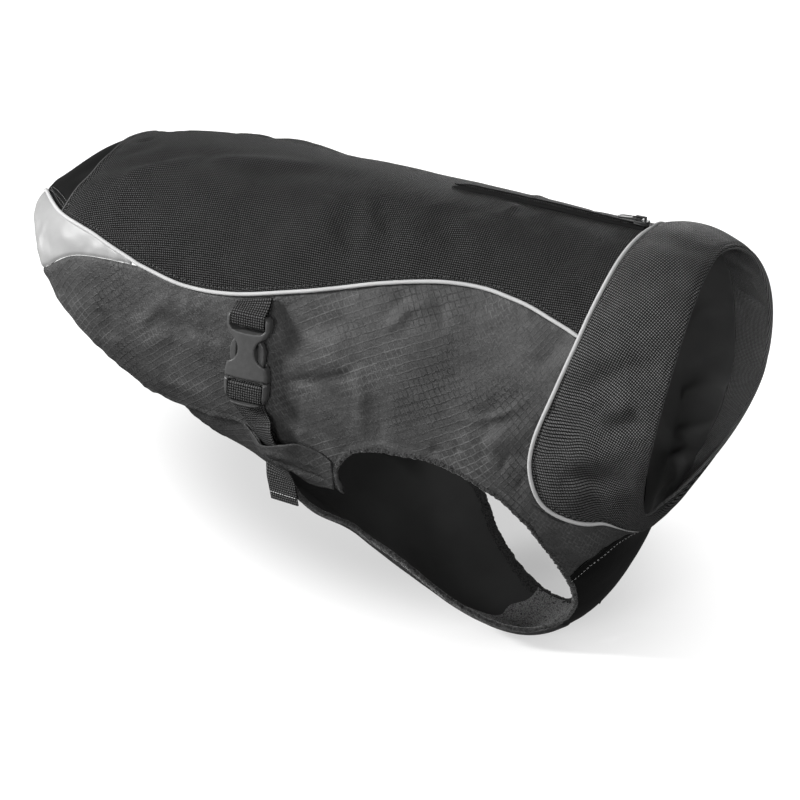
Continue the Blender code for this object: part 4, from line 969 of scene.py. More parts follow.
# The underside: the chest panel of smooth black polyester, and the belly flap of ripstop whose rear
# end is tucked inside the shell and whose sides are bound round the leg openings. The left edge is
# drawn from what shows through the opening.
BELLY_INSET = -2.4
BELLY_RISE_ROWS = (4.6, 7.0)   # where the flap comes out to its own level
BELLY_SAG = 9.5
SAG_ROW = 3.9
SAG_REACH = 0.6
SAG_DEGREES = (119.0, 129.0)   # where the sag starts and is full
SAG_FADES = (134.0, 152.0)
BELLY_REAR = np.array([(1.95, 116.0), (2.05, 150.0), (2.10, 180.0)])
BELLY_TUCK = np.array([(1.95, 116.0), (2.45, 112.5), (2.85, 113.2), (3.15, 116.6)])
BELLY_LEG_EDGE = np.array([
    (3.15, 116.6), (3.45, 123.5), (3.85, 129.5), (4.22, 134.5), (4.60, 138.5), (5.10, 140.0), (5.60, 145.5),
    (6.00, 149.5), (6.50, 153.5), (7.10, 158.0), (7.55, 161.0),
])
BELLY_LEG_EDGE_LEFT = np.array([
    (3.15, 116.6), (3.45, 123.5), (3.85, 128.8), (4.25, 131.2), (4.70, 132.4), (5.12, 135.6), (5.50, 143.2),
    (5.98, 149.0), (6.50, 153.5), (7.10, 158.0), (7.55, 161.0),
])


def progress(value, low, high):
    """How far a value has come from low to high, from 0 to 1."""
    return np.clip((value - low) / (high - low), 0, 1)


def belly_out(row, degrees):
    """The flap runs inside the shell at its rear, rises to its level in front, and sags at the edge."""
    tucked = BELLY_INSET * (1 - eased(progress(row, *BELLY_RISE_ROWS)))
    near = np.clip(1 - ((row - SAG_ROW) / SAG_REACH) ** 2, 0, 1) ** 2
    turned = 180 - np.abs(degrees - 180)
    sag = BELLY_SAG * near * eased(progress(turned, *SAG_DEGREES))
    return tucked + sag * (1 - eased(progress(turned, *SAG_FADES)))


chest_leg = whole(CHEST_LEG_EDGE, 26)[::-1]
chest_side = whole(CHEST_SEAM, 50)
chest_right = chain(chest_leg, chest_side)
chest = cloth("chest_cloth", patch(np.linspace(chest_right[0], under(chest_right)[0], 61),
                                   np.linspace(chest_right[-1], under(chest_right)[-1], 61),
                                   chest_right, under(chest_right)),
              (satin_black, body_lining), centre=180, insets=(0.2, 0.25, 0.2, 0.2),
              edges=("seam", "tucked", "seam", "seam"), seed=31, wave=0.5)
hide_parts("chest_panel")

chest_thread = thread_finish("chest thread", 110)
points, normals = skin(chest_side[:, 0], chest_side[:, 1], 0.5)
_, across, normal = directions(points, normals)
for label, hand in (("right", 1), ("left", -1)):
    row = stitches("chest_topstitch_" + label,
                   (points - across * np.sign(across[:, 2:3]) * 4.2) * (1, hand, 1), normal * (1, hand, 1),
                   chest_thread, length=1.8, width=0.45, high=0.4)

belly_right = chain(whole(BELLY_TUCK, 36), whole(BELLY_LEG_EDGE, 110))
belly_left = under(chain(whole(BELLY_TUCK, 36), whole(BELLY_LEG_EDGE_LEFT, 110)))
belly_half = whole(BELLY_REAR, 45)
belly = cloth("belly_cloth", patch(chain(belly_half, under(belly_half)[::-1]),
                                   np.linspace(belly_right[-1], belly_left[-1], 91),
                                   belly_right, belly_left),
              (ripstop, body_lining), centre=180, insets=(0, 0.3, 1.0, 1.0),
              out=lambda places: belly_out(places[..., 0], places[..., 1]),
              edges=("hem", "seam", "", ""), seed=41)
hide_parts("belly_panel")

# The leg openings' binding: a band of fleecy knit folded over the cut edge, narrow on the shell and
# wider along the belly flap.
BINDING_SHELL = 2.8
BINDING_BELLY = 6.0
BINDING_TURN = 5.0     # wider by so much where the band turns round under the chest
TURN_ROW = 7.1
TURN_REACH = 0.8
WIDENING = 60          # steps from the shell's width to the belly's


def knit_finish(name, high):
    """Fleecy knit: short looped pile, its tips painted light as a painted highlight and the hollows between
    its loops painted dark as painted shade, the tips as bright as given.
    """
    finish = Finish(name, high * 0.65, 0.95, Sheen_Weight=0.25, Specular_IOR_Level=0.1)
    loops = node(finish.tree, "TexVoronoi", {"Vector": finish.place, "Scale": 1100.0})
    pile = Level(loops.outputs["Distance"]) * -1.0 + 1.0
    # Loop tips painted light and the hollows between loops painted dark: painted highlight and shade.
    finish.colour(pile, high * 0.12, high)
    return finish.bump(pile, 0.8, 0.0005)


fleecy_knit = knit_finish("fleecy knit", 66)
band_shell = chain(trace(LEG_EDGE, 0, 13, 420)[8:], whole(CHEST_LEG_EDGE, 60))
for label, hand, belly_edge in (("right", 1, BELLY_LEG_EDGE), ("left", -1, BELLY_LEG_EDGE_LEFT)):
    band_line = chain(band_shell, whole(belly_edge, 330)[::-1])
    count = len(band_line)
    steps_on = np.arange(count) - len(band_shell)
    share = np.clip(steps_on / WIDENING, 0, 1)
    turned = np.exp(-((band_line[:, 0] - TURN_ROW) / TURN_REACH) ** 2) * share
    width = BINDING_SHELL + (BINDING_BELLY + BINDING_TURN * turned - BINDING_SHELL) * share
    out = np.where(steps_on < 0, 0, belly_out(band_line[:, 0], band_line[:, 1]))
    edge, normal = skin(band_line[:, 0], band_line[:, 1] * hand, out - 0.55 - 0.3 * turned)
    along, _, normal = directions(edge, normal)
    inward = np.cross(normal, along) * hand
    middle = edge + inward * (width / 2 - 0.2)[:, None]
    half_size = np.stack((width / 2 + 0.3, np.full(count, 1.35)), -1)
    outline = rounded(1.0, 1.0, 2.6, 26)[None] * half_size[:, None]
    rings = middle[:, None] + inward[:, None] * outline[..., :1] + normal[:, None] * outline[..., 1:]
    pile = 0.5 * speckle(rings, 1.2, 61) + 0.35 * speckle(rings, 2.8, 62)
    outline = outline * (1 + pile / np.linalg.norm(outline, axis=-1))[..., None]
    band = swept("leg_knit_" + label, middle, inward, normal, outline, fleecy_knit)
    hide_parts("leg_binding_" + label)

# The fleece inside the belly flap's front: a facing of the fleecy knit sewn into the flap's bound
# edges, its napped side inward. Its finish is painted far paler than the binding's knit, as painted
# light where little light reaches. It shows through the leg opening.
FLEECE_REAR = np.array([
    (5.10, 140.0), (5.35, 152.0), (5.55, 168.0), (5.83, 178.3), (6.09, 185.8), (6.14, 193.9), (6.41, 200.3),
    (6.50, 206.5),
])
fleece_near = trace(BELLY_LEG_EDGE, 5, 10, 80)
fleece_far = under(trace(BELLY_LEG_EDGE, 8, 10, 80))
fleece = cloth("belly_fleece_cloth",
               patch(whole(FLEECE_REAR, 60), np.linspace(fleece_near[-1], fleece_far[-1], 61), fleece_near,
                     fleece_far),
               (knit_finish("belly fleece, painted pale", 150),), centre=180, insets=(0, 1.0, 2.0, 2.0), wall=0.6,
               inner=True, out=lambda places: belly_out(places[..., 0], places[..., 1]) - 1.75, wave=0.3,
               ripple=0.25, seed=43)

# The collar: a standing tube of the back's basket weave, its crowns painted lighter than the back's as
# painted light, rolled over the rim onto a woven facing band painted paler still as painted light
# inside the far rim, with a smooth lining below that. Its lower edge is piped to the body.
COLLAR_RISE = np.array([(0.00, 0.6), (0.12, 3.0), (0.35, 4.3), (0.70, 3.8), (0.92, 2.8), (1.00, 1.4)])
RIM_ROLL = 1.65
FACING_LEVEL = -1.9
FACING_EDGE = np.array([
    (11.05, 0.0), (11.05, 50.0), (11.10, 75.0), (11.19, 96.0), (11.15, 115.0), (11.10, 135.0),
    (11.27, 150.0), (11.46, 165.0), (11.50, 180.0),
])
ROW_LENGTH = 20.0      # mm of collar a row
ROLL_STEPS = 12
LIP_STEPS = 7          # of them, whose cloth is the facing's
LINING_TUCK = 0.3      # rows that the lining runs past the seam line
LINING_DROP = 2.2      # rows more that it reaches down in front
DROP_DEGREES = (104, 120)
SEAM_DIP = 2.2         # mm that the lining sinks beside the collar's seam
SEAM_DIP_ROWS = 0.35
# The collar's crowns are painted lighter than the back's weave: painted light on the same cloth.
weave_collar = weave_finish("basket weave nylon, collar, painted lighter", -22, 1, 116)
collar_front = trace(COLLAR_SEAM, 12, 13, 8)
collar_half = chain(*collar_stretches, collar_front)
collar_loop = np.concatenate((collar_half, mirrored(collar_half)[-2:0:-1]))
loop_rows, loop_turns = collar_loop[:, 0], collar_loop[:, 1]


def ring_places(start_rows, end_rows, count):
    """Places all round the collar's loop, evenly spaced from a start row to an end row."""
    shares = np.linspace(0, 1, count)
    rows = start_rows[:, None] + (end_rows - start_rows)[:, None] * shares[None]
    return np.stack((rows, np.broadcast_to(loop_turns[:, None], rows.shape)), -1)


rise_fine = smooth(COLLAR_RISE, np.linspace(0, 5, 101))
collar_places = ring_places(loop_rows, np.full(len(loop_rows), RIM_ROW), 44)
collar_places = trimmed(collar_places.swapaxes(0, 1), 0.25).swapaxes(0, 1)
share = (collar_places[..., 0] - loop_rows[:, None]) / (RIM_ROW - loop_rows)[:, None]
collar_out = np.interp(share, rise_fine[:, 0], rise_fine[:, 1])
base = section_point(collar_places[..., 0], collar_places[..., 1])
gap = run_length(base, 1)
COLLAR_CREASES = (
    (8.85, 66, 11.78, 51, 3, 8, 3.33, 0.3),
    (9.04, 77, 11.82, 66, -2, 7, -3.33, 0),
    (8.50, 77, 9.81, 92, 2, 8, -2.64, 0),
    (10.28, 86, 11.34, 77, 2, 6, 2.46, 0),
    (10.70, 91, 11.62, 82, 1, 7, -2.64, 0),
    (9.69, 45, 11.58, 27, 4, 9, -1.94, 0),
    (9.59, 57, 11.75, 40, -2, 9, 1.76, 0),
    (8.79, 94, 11.69, 94, 3, 8, 2.11, 0),
    (8.74, 101, 11.72, 115, -3, 7, -2.11, 0),
    (10.06, 12, 12.00, 11, 3, 7, -1.59, 0),
    (8.72, -64, 11.58, -52, -3, 8, 2.98, -0.3),
    (9.03, -78, 11.83, -69, 2, 7, -2.81, 0),
    (8.40, -77, 9.68, -91, -2, 8, -2.64, 0),
    (10.21, -88, 11.29, -76, -2, 6, 2.11, 0),
    (10.91, -94, 11.84, -82, -1, 7, -2.81, 0),
    (9.73, -47, 11.64, -29, -4, 9, -2.11, 0),
    (9.54, -60, 11.64, -42, 2, 9, 1.94, 0),
    (8.96, -96, 11.84, -94, -3, 8, 2.29, 0),
    (10.05, -12, 11.99, -10, -3, 7, -1.4, 0),
)
collar_out = (collar_out + edge_dip("stitched", gap) + 0.35 * speckle(base, 26.0, 51)
              + 0.06 * speckle(base, 7.0, 52) + creased(collar_places, 0, COLLAR_CREASES))
roll = np.linspace(0, np.pi, ROLL_STEPS + 1)[1:]
lip_rows = RIM_ROW + RIM_ROLL * np.sin(roll) / ROW_LENGTH
lip_out = collar_out[:, -1:] - RIM_ROLL * (1 - np.cos(roll))
collar_places = np.concatenate((collar_places, np.stack(np.broadcast_arrays(
    lip_rows[None], loop_turns[:, None]), -1)), 1)
collar_out = np.concatenate((collar_out, lip_out), 1)
points, normals = skin(collar_places[..., 0], collar_places[..., 1], collar_out)
flat = ring_map(collar_places)
flat[:, -ROLL_STEPS:, 0] = flat[:, -ROLL_STEPS - 1:-ROLL_STEPS, 0] + RIM_ROLL * roll
# The facing's weave is painted far paler than the collar's: painted light inside the far rim.
facing_cloth = weave_finish("collar facing", -10, 80, 168, 0.6, 0.9)
collar = sheet_mesh("collar_cloth", points, normals, flat, (weave_collar, facing_cloth), SHELL_WALL, True)
columns = points.shape[1] - 1
turned_in = np.arange(len(points) * columns) % columns >= columns - LIP_STEPS
collar.data.polygons.foreach_set("material_index", turned_in.astype(int))
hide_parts("collar_outer")

lining_cloth = smooth_finish("collar lining", 88, 0.5)
LINING_CREASES = (
    (9.6, -78, 11.3, -70, 4, 6, -2.0, 0),
    (9.3, -92, 11.2, -88, -3, 5, 0.9, 0),
    (9.4, -104, 11.3, -106, 3, 6, -2.8, 0.5),
    (9.3, -116, 11.2, -120, -2, 4, -2.2, 0),
    (9.4, -130, 11.3, -138, 2, 6, -2.6, 0.5),
    (9.6, -152, 11.5, -158, 3, 6, -1.8, 0),
    (9.4, -170, 11.5, -166, -3, 7, 1.9, 0.3),
    (10.2, -40, 11.9, -50, 3, 6, -1.1, 0),
    (11.0, -62, 12.0, -66, 1, 3, 1.2, 0),
    (11.1, -96, 11.9, -92, 0, 3, -0.9, 0),
    (9.5, 70, 11.3, 78, 4, 6, -1.4, 0),
    (9.5, 100, 11.3, 96, -3, 6, 1.5, 0),
    (9.7, 128, 11.3, 132, 2, 6, -1.4, 0),
)
edge_rows = np.interp(np.abs(loop_turns), FACING_EDGE[:, 1], FACING_EDGE[:, 0])
leg_top = np.interp(np.abs(loop_turns), LEG_EDGE[7:, 1], LEG_EDGE[7:, 0])
lining_edge = loop_rows - LINING_TUCK - LINING_DROP * progress(np.abs(loop_turns), *DROP_DEGREES)
lining_edge = np.maximum(lining_edge, leg_top + LINING_TUCK)


def inside_out(places, level):
    """The level, sinking by the seam's dip on the way down to the collar's seam."""
    seam = loop_rows[:, None]
    return level - SEAM_DIP * progress(places[..., 0], seam + SEAM_DIP_ROWS, seam)


for name, node_name, slot, finish, first, last, count, level, width, area in (
        ("collar_facing_cloth", "collar_facing", "collar_facing", facing_cloth,
         edge_rows, np.full(len(loop_rows), RIM_ROW), 12, FACING_LEVEL, 0.045, 0.0084),
        ("collar_lining_cloth", "collar_lining", "collar_lining", lining_cloth,
         lining_edge, edge_rows, 36, FACING_LEVEL - 0.1, 0.104, 0.0274)):
    inside = cloth(name, ring_places(first, last, count), (finish,), 0, wall=0.9, ring=True, inner=True,
                   out=lambda places: inside_out(places, level), seed=55 + count,
                   insets=(0, 0, 0.2, 0.0), wave=0.5, creases=LINING_CREASES)
    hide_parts(node_name)

collar_right = chain(*collar_stretches)[:-1]
collar_line = np.concatenate((mirrored(collar_right)[:0:-1], collar_right))
points, normals = skin(collar_line[:, 0], collar_line[:, 1], PIPING_OUT + 0.3)
collar_cord = piping_cord("collar_piping_cord", points, normals, light_piping)
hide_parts("collar_piping")

for label, hand in (("right", 1), ("left", -1)):
    line = trace(COLLAR_SEAM, 0, 12, 400) * (1, hand)
    points, normals = skin(line[:, 0], line[:, 1], 1.05)
    along, across, normal = directions(points, normals)
    row = stitches("collar_topstitch_" + label, points + across * np.sign(across[:, :1] + 0.2) * 3.6, normals,
                   dark_thread, length=2.0, width=0.7)

# The strap tunnels: a folded ripstop flap over each side strap, sewn down at both ends.
TUNNEL_TOP = np.array([
    (3.07, 115.9), (3.27, 116.2), (3.61, 110.7), (3.80, 108.0), (3.95, 106.7), (4.14, 107.4),
    (4.34, 109.2),
])
TUNNEL_LOWER = np.array([
    (3.10, 118.2), (3.24, 124.6), (3.59, 120.6), (3.81, 118.8), (4.01, 121.4), (4.34, 119.0),
])
TUNNEL_LOW = 0.5
TUNNEL_WALL = 1.2
TUNNEL_MOUTH = 12.0
TUNNEL_EXIT = 6.3
TUNNEL_ENDS = (3.06, 3.58, 4.33)
TUNNEL_CREASES = (
    (3.38, 117.5, 4.30, 116.5, -1.5, 1.3, -2.0, 0.3),
    (3.45, 114.5, 4.20, 112.5, -1, 2.4, 1.1, 0),
    (3.50, 120.0, 4.25, 118.4, -1, 2.2, 0.9, 0),
    (3.85, 109.5, 4.05, 115.0, 0.5, 1.4, -1.0, 0),
    (3.15, 118.0, 3.55, 116.0, 0, 1.5, -1.0, 0),
)
for label, hand in (("right", 1), ("left", -1)):
    upper = whole(TUNNEL_TOP, 60)
    lower = whole(TUNNEL_LOWER, 60)
    places = patch(np.linspace(upper[0], lower[0], 31), np.linspace(upper[-1], lower[-1], 31), upper, lower)
    share = np.interp(places[..., 0], TUNNEL_ENDS, (0, 1, 0))
    height = TUNNEL_MOUTH + (TUNNEL_EXIT - TUNNEL_MOUTH) * np.linspace(0, 1, 31) ** 2
    out = (TUNNEL_LOW + TUNNEL_WALL + height * eased(share) + creased(places, 110, TUNNEL_CREASES)
           + 0.35 * speckle(section_point(places[..., 0], places[..., 1]), 5.0, 83))
    points, normals = skin(places[..., 0], places[..., 1] * hand, out)
    flap = sheet_mesh("tunnel_cloth_" + label, points, normals, cloth_map(places * (1, hand), 110 * hand),
                      (ripstop,), TUNNEL_WALL)
    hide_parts("strap_tunnel_" + label)

# The buckle: a moulded side-release clip in dark grey plastic, its prongs snapped into the socket.
# Each part is a field of distances, worked out on a grid in the buckle's own frame (x forward, y up,
# z out of the coat, in mm) and skinned at zero.
BUCKLE_ROW = 3.29
BUCKLE_DEGREES = 92.0
BUCKLE_LEAN = 4.5      # degrees that its top leans forward
BUCKLE_TURN = 5.0      # and that its front edge stands out
BUCKLE_LIFT = 1.2
BUCKLE_HALF = 14.5
BUCKLE_THICK = 8.6
BUCKLE_CROWN = 1.5     # mm that its face falls away to each side
BUCKLE_STEP = 0.42
WEB_HALF = 11.8        # of the slots, a little wider than the webbing
PRONG_FLOOR = 1.9
PRONG_TOP = BUCKLE_THICK - 2.4


def skinned(name, field, low, step, seat, finish, body="coat"):
    """Surface nets: a point in every grid cell the surface enters, at the mean of the crossings on
    its edges, and a quad across every grid edge whose ends lie on different sides."""
    inside = field < 0
    cells = np.array(field.shape) - 1
    total = np.zeros((*cells, 3))
    count = np.zeros(cells)
    for axis in range(3):
        for first, second in ((0, 0), (0, 1), (1, 0), (1, 1)):
            start = np.insert((first, second), axis, 0)
            ahead = start + np.eye(3, dtype=int)[axis]
            near = field[tuple(slice(a, a + c) for a, c in zip(start, cells))]
            far = field[tuple(slice(a, a + c) for a, c in zip(ahead, cells))]
            crossed = (near < 0) != (far < 0)
            share = np.where(crossed, near / np.where(crossed, near - far, 1), 0)
            total += crossed[..., None] * (start + share[..., None] * (ahead - start))
            count += crossed
    used = count > 0
    number = np.cumsum(used).reshape(used.shape) - 1
    spots = low + step * (np.argwhere(used) + total[used] / count[used][:, None])
    faces = []
    for axis in range(3):
        ends = np.moveaxis(inside, axis, 0)
        cell = np.moveaxis(number, axis, 0)
        leaves = ends[:-1, 1:-1, 1:-1] & ~ends[1:, 1:-1, 1:-1]
        enters = ~ends[:-1, 1:-1, 1:-1] & ends[1:, 1:-1, 1:-1]
        quad = np.stack((cell[:, :-1, :-1], cell[:, 1:, :-1], cell[:, 1:, 1:], cell[:, :-1, 1:]), -1)
        turned = -1 if axis == 1 else 1
        faces += [quad[leaves][:, ::turned], quad[enters][:, ::-turned]]
    seat = np.array(seat)
    spots = spots @ seat[:3, :3].T + seat[:3, 3] * 1000
    return new_piece(name, spots, np.concatenate(faces).tolist(), [finish], body=body)


def outline_distance(x, y, corners):
    """Signed distance to a closed outline in the plane, negative inside."""
    nearest = np.full(x.shape, np.inf)
    inside = np.zeros(x.shape, bool)
    for (ax, ay), (bx, by) in zip(corners, np.roll(corners, -1, 0)):
        run, climb = bx - ax, by - ay
        share = np.clip(((x - ax) * run + (y - ay) * climb) / (run ** 2 + climb ** 2), 0, 1)
        nearest = np.minimum(nearest, np.hypot(x - ax - share * run, y - ay - share * climb))
        if climb:
            inside ^= ((ay > y) != (by > y)) & (x < ax + (y - ay) * run / climb)
    return np.where(inside, -nearest, nearest)


def both(one, other, radius):
    """Where two solids overlap, the edge between them rounded."""
    a = np.maximum(one + radius, 0)
    b = np.maximum(other + radius, 0)
    return np.minimum(np.maximum(one, other), -radius) + np.hypot(a, b)


def less(one, other, radius):
    """One solid with another cut out of it, the edge between them rounded."""
    return both(one, -other, radius)


def box_distance(x, y, z, low, high, radius=0.6):
    """Signed distance to a rounded box."""
    offs = [np.abs(v - (a + b) / 2) - (b - a) / 2 + radius for v, a, b in zip((x, y, z), low, high)]
    outside = np.sqrt(sum(np.maximum(off, 0) ** 2 for off in offs))
    return outside + np.minimum(np.maximum.reduce(offs), 0) - radius


def plastic_finish():
    """Matt moulded plastic with a fine spark-eroded grain."""
    finish = Finish("buckle plastic", 66, 0.42, Specular_IOR_Level=0.4)
    tone = finish.noise(260, 4) * 0.7 + finish.noise(1500, 2) * 0.4
    finish.colour(tone, 56, 84)
    return finish.bump(tone, 0.35, 0.0003)


def buckle_seat(hand):
    """The buckle's frame as a matrix, at the shell's face."""
    place, normal = skin(BUCKLE_ROW, BUCKLE_DEGREES * hand, 0)
    out = Vector(normal)
    up = Vector((math.sin(math.radians(BUCKLE_LEAN)), 0, math.cos(math.radians(BUCKLE_LEAN))))
    up = (up - out * up.dot(out)).normalized()
    out = Matrix.Rotation(math.radians(BUCKLE_TURN * hand), 3, up) @ out
    turn = Matrix((up.cross(out), up, out)).transposed().to_4x4()
    return Matrix.Translation(Vector(place + normal * BUCKLE_LIFT) / 1000) @ turn


SOCKET_OUTLINE = np.array([
    # x (mirrored)  y
    (0, 32.2), (8, 32.2), (12.2, 31.8), (14.2, 29.6), (14.6, 26.5), (14.3, 23.0), (12.6, 19.5), (10.4, 16.4),
    (9.6, 12.0), (10.0, 6.0), (11.8, 1.5), (13.6, -2.0), (14.4, -6.0), (14.5, -10.0), (0, -10.0),
])
MALE_OUTLINE = np.array([
    (0, -10.9), (14.5, -10.9), (14.5, -17.0), (13.9, -21.0), (12.0, -24.6), (8.4, -26.8), (4.0, -27.6),
    (0, -27.8),
])
PRONG_OUTLINE = np.array([
    (3.6, -10.0), (10.8, -12.0), (11.4, -8.0), (10.4, -2.0), (11.4, 3.0), (11.7, 8.5), (10.6, 12.8),
    (8.6, 15.6), (7.0, 15.2), (7.0, 11.0), (7.2, 5.0), (6.2, -1.0), (3.6, -4.0),
])
SLOT_OUTLINE = np.array([
    (0, 26.0), (WEB_HALF, 26.0), (WEB_HALF, 23.8), (WEB_HALF - 2.0, 21.6), (6, 20.8), (0, 20.6),
])
WINDOW_CENTRE = (12.8, 9.2)   # of the opening at each side that shows a prong
WINDOW_RADIUS = 7.2
WINDOW_STRETCH = 1.2
PRONG_ROOM = ((-3, -14.0, 1.7), (12.2, 16.0, BUCKLE_THICK - 2.2))
SOCKET_CUTS = (
    # y to y, z to z, corner radius, edge radius: room for the webbing in front of the bar and behind it
    (25.4, 36.0, 5.8, 14.0, 0.6, 0.5),
    (25.4, 36.0, -6.0, 2.6, 0.6, 0.5),
)
PRONG_PART_CUTS = (
    # room in front, the slots above and below the bar, and room behind
    (-25.6, -6.0, 5.4, 14.0, 1.6, 0.4),
    (-16.6, -11.9, -6.0, 14.0, 0.6, 0.3),
    (-25.6, -21.2, -6.0, 14.0, 0.6, 0.3),
    (-32.0, -12.6, -6.0, 2.6, 0.6, 0.4),
)
plastic = plastic_finish()
low = np.array((-16.5, -30.0, -2.0))
high = np.array((16.5, 34.0, 11.0))
x, y, z = np.meshgrid(*(np.arange(a, b, BUCKLE_STEP) for a, b in zip(low, high)), indexing="ij")
across = np.abs(x)
dome = BUCKLE_THICK - BUCKLE_CROWN * (x / BUCKLE_HALF) ** 2 - z
slab = np.maximum(-dome, -z)


def cut_for_webbing(part, cuts):
    """A part less boxes as wide as the webbing's slots."""
    for y0, y1, z0, z1, corner, edge in cuts:
        part = less(part, box_distance(x, y, z, (-WEB_HALF, y0, z0), (WEB_HALF, y1, z1), corner), edge)
    return part


def folded(table):
    """An outline drawn for x above 0 closed along the middle line."""
    return np.vstack((table, (-3, table[-1][1]), (-3, table[0][1])))


socket = both(outline_distance(across, y, folded(SOCKET_OUTLINE)), slab, 2.0)
socket = less(socket, outline_distance(across, y, folded(SLOT_OUTLINE)), 0.7)
socket = cut_for_webbing(socket, SOCKET_CUTS)
window = np.hypot(across - WINDOW_CENTRE[0], (y - WINDOW_CENTRE[1]) / WINDOW_STRETCH) - WINDOW_RADIUS
socket = less(socket, window, 0.9)
socket = less(socket, box_distance(across, y, z, *PRONG_ROOM), 0.3)
prong = both(outline_distance(across, y, PRONG_OUTLINE), np.maximum(PRONG_FLOOR - z, z - PRONG_TOP), 0.9)
male = both(outline_distance(across, y, folded(MALE_OUTLINE)), slab, 2.0)
male = np.minimum(cut_for_webbing(male, PRONG_PART_CUTS), prong)
for label, hand in (("right", 1), ("left", -1)):
    for part, field in (("buckle_socket_", socket), ("buckle_prongs_", male)):
        moulding = skinned(part + "moulding_" + label, field if hand == 1 else field[::-1], low, BUCKLE_STEP,
                           buckle_seat(hand), plastic)
        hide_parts(part + label)

# The side straps: coarse woven webbing. The upper one is sewn in under the piping and goes round the
# socket's bar; the lower one goes round the male part's bar, through the tunnel and hangs free.
WEB_WIDTH = 22.0
WEB = 1.4
WEB_CELL = 1.55
UPPER_LOOP = np.array([
    # up    out  slant  twist
    (39.9, -1.5, 0.25, -6),
    (37.0, 0.5, 0.12, -4),
    (34.4, 4.4, 0, 0),
    (33.0, 6.4, 0, 0),
    (31.2, 7.1, 0, 0),
    (26.2, 7.1, 0, 0),
    (24.7, 5.8, 0, 0),
    (24.7, 2.6, 0, 0),
    (26.0, 1.2, 0, 0),
    (31.0, 1.0, 0, 0),
    (34.5, -0.1, 0, 0),
    (37.0, -1.7, 0.12, -4),
    (39.3, -3.4, 0.25, -6),
])
LOWER_LOOP = np.array([
    (-20.0, 0.9, 0, 0),
    (-17.0, 1.0, 0, 0),
    (-14.2, 1.5, 0, 0),
    (-12.9, 3.0, 0, 0),
    (-12.9, 5.4, 0, 0),
    (-14.4, 6.6, 0, 0),
    (-18.8, 6.9, 0, 0),
    (-23.0, 6.6, 0, 0),
    (-24.6, 5.2, 0, 0),
    (-24.9, 3.4, 0, 0),
    (-25.7, 1.7, 0, 0),
    (-27.2, 0.9, 0, 0),
    (-29.0, 0.6, 0, 2),
])
LOWER_RUN = np.array([
    # row  degrees  out  twist
    (3.365, 108.6, 4.4, 10),
    (3.410, 111.3, 5.4, 20),
    (3.464, 114.2, 5.5, 22),
    (3.500, 117.2, 4.4, 15),
    (3.505, 120.5, 3.6, 9),
    (3.500, 125.0, 3.2, 8),
])
FREE_END = (4.5, 0.0, -23.0)   # forward, inward and down
FREE_ACROSS = (0.98, -0.19, 0.0)
TACK_BACK = 0.62       # of the free end's last step, from its tip to the bar tack
TACK_REACH = 0.47      # of the webbing's width, to each side


def webbing_finish():
    """Coarse plain-woven webbing: light crowns between gaps painted near black as painted shade, from the
    strap's own map.
    """
    finish = Finish("webbing", 80, 0.6, Specular_IOR_Level=0.2)
    height = basket_height(finish, 0, WEB_CELL)
    crowns_over_painted_shade = height.ramp(0.45, 0.92, kind="SMOOTHSTEP")
    # Gaps painted near black: painted shade between the threads.
    finish.colour(crowns_over_painted_shade * (finish.noise(900, 2) * 0.9 + 0.5), 3, 86)
    return finish.bump(height, 1.0, 0.0007)


def ribbon(name, middle, across, slant):
    """Webbing carried along a path: smooth curves through its points, the ends cut square."""
    fine = np.linspace(0, len(middle) - 1, 7 * (len(middle) - 1) + 1)
    middle, across, slant = (smooth(table, fine) for table in (middle, across, slant))
    along = np.gradient(middle, axis=0)
    normal = np.cross(along, across)
    normal /= np.linalg.norm(normal, axis=-1, keepdims=True)
    outline = rounded(WEB_WIDTH / 2, WEB / 2, 7, 36)
    side = across + slant * 2 / WEB_WIDTH
    return swept(name, middle, side, normal, outline, webbing)


def loop_points(table, hand):
    """Middle points, unit vectors across and end slants of a strap's loop on the buckle."""
    turn = np.array(buckle_seat(hand))
    sideways, up, out = turn[:3, :3].T
    middle = turn[:3, 3] * 1000 + table[:, :1] * up + table[:, 1:2] * out
    twist = np.radians(table[:, 3:4])
    across = sideways * hand * np.cos(twist) + out * np.sin(twist)
    return middle, across, up * table[:, 2:3] * WEB_WIDTH / 2


webbing = webbing_finish()
light_thread = thread_finish("light thread", 170)
for label, hand in (("right", 1), ("left", -1)):
    strap = ribbon("strap_upper_webbing_" + label, *loop_points(UPPER_LOOP, hand))
    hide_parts("strap_upper_" + label)
    middle, across, slant = loop_points(LOWER_LOOP, hand)
    run = smooth(LOWER_RUN, np.linspace(0, len(LOWER_RUN) - 1, 11))
    points, normal = skin(run[:, 0], run[:, 1] * hand, run[:, 2])
    forward = np.cross(normal, np.gradient(points, axis=0)) * hand
    forward /= np.linalg.norm(forward, axis=-1, keepdims=True)
    twist = np.radians(run[:, 3:4])
    run_across = forward * np.cos(twist) + normal * np.sin(twist)
    share = np.linspace(0, 1, 4)[1:, None]
    free = points[-1] + share * np.array(FREE_END) * (1, hand, 1)
    free_across = np.broadcast_to(np.array(FREE_ACROSS) * (1, hand, 1), free.shape)
    middle = np.concatenate((middle, points, free))
    across = np.concatenate((across, run_across, free_across))
    strap = ribbon("strap_lower_webbing_" + label, middle, across, np.zeros_like(middle))
    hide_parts("strap_lower_" + label)
    outward = np.cross(np.array(FREE_END) * (1, hand, 1), free_across[0]) * hand
    outward /= np.linalg.norm(outward)
    bar = free[-1] - (free[-1] - free[-2]) * TACK_BACK
    shares = np.linspace(-TACK_REACH, TACK_REACH, 30)[:, None]
    row = bar + shares * WEB_WIDTH * free_across[0] + outward * (WEB / 2 + 0.05) * np.sign(-outward[1] * hand)
    bar_tack = stitches("strap_bar_tack_" + label, row, np.broadcast_to(outward, row.shape), light_thread,
                        length=1.5, width=0.6, high=0.35, pitch=1.9)

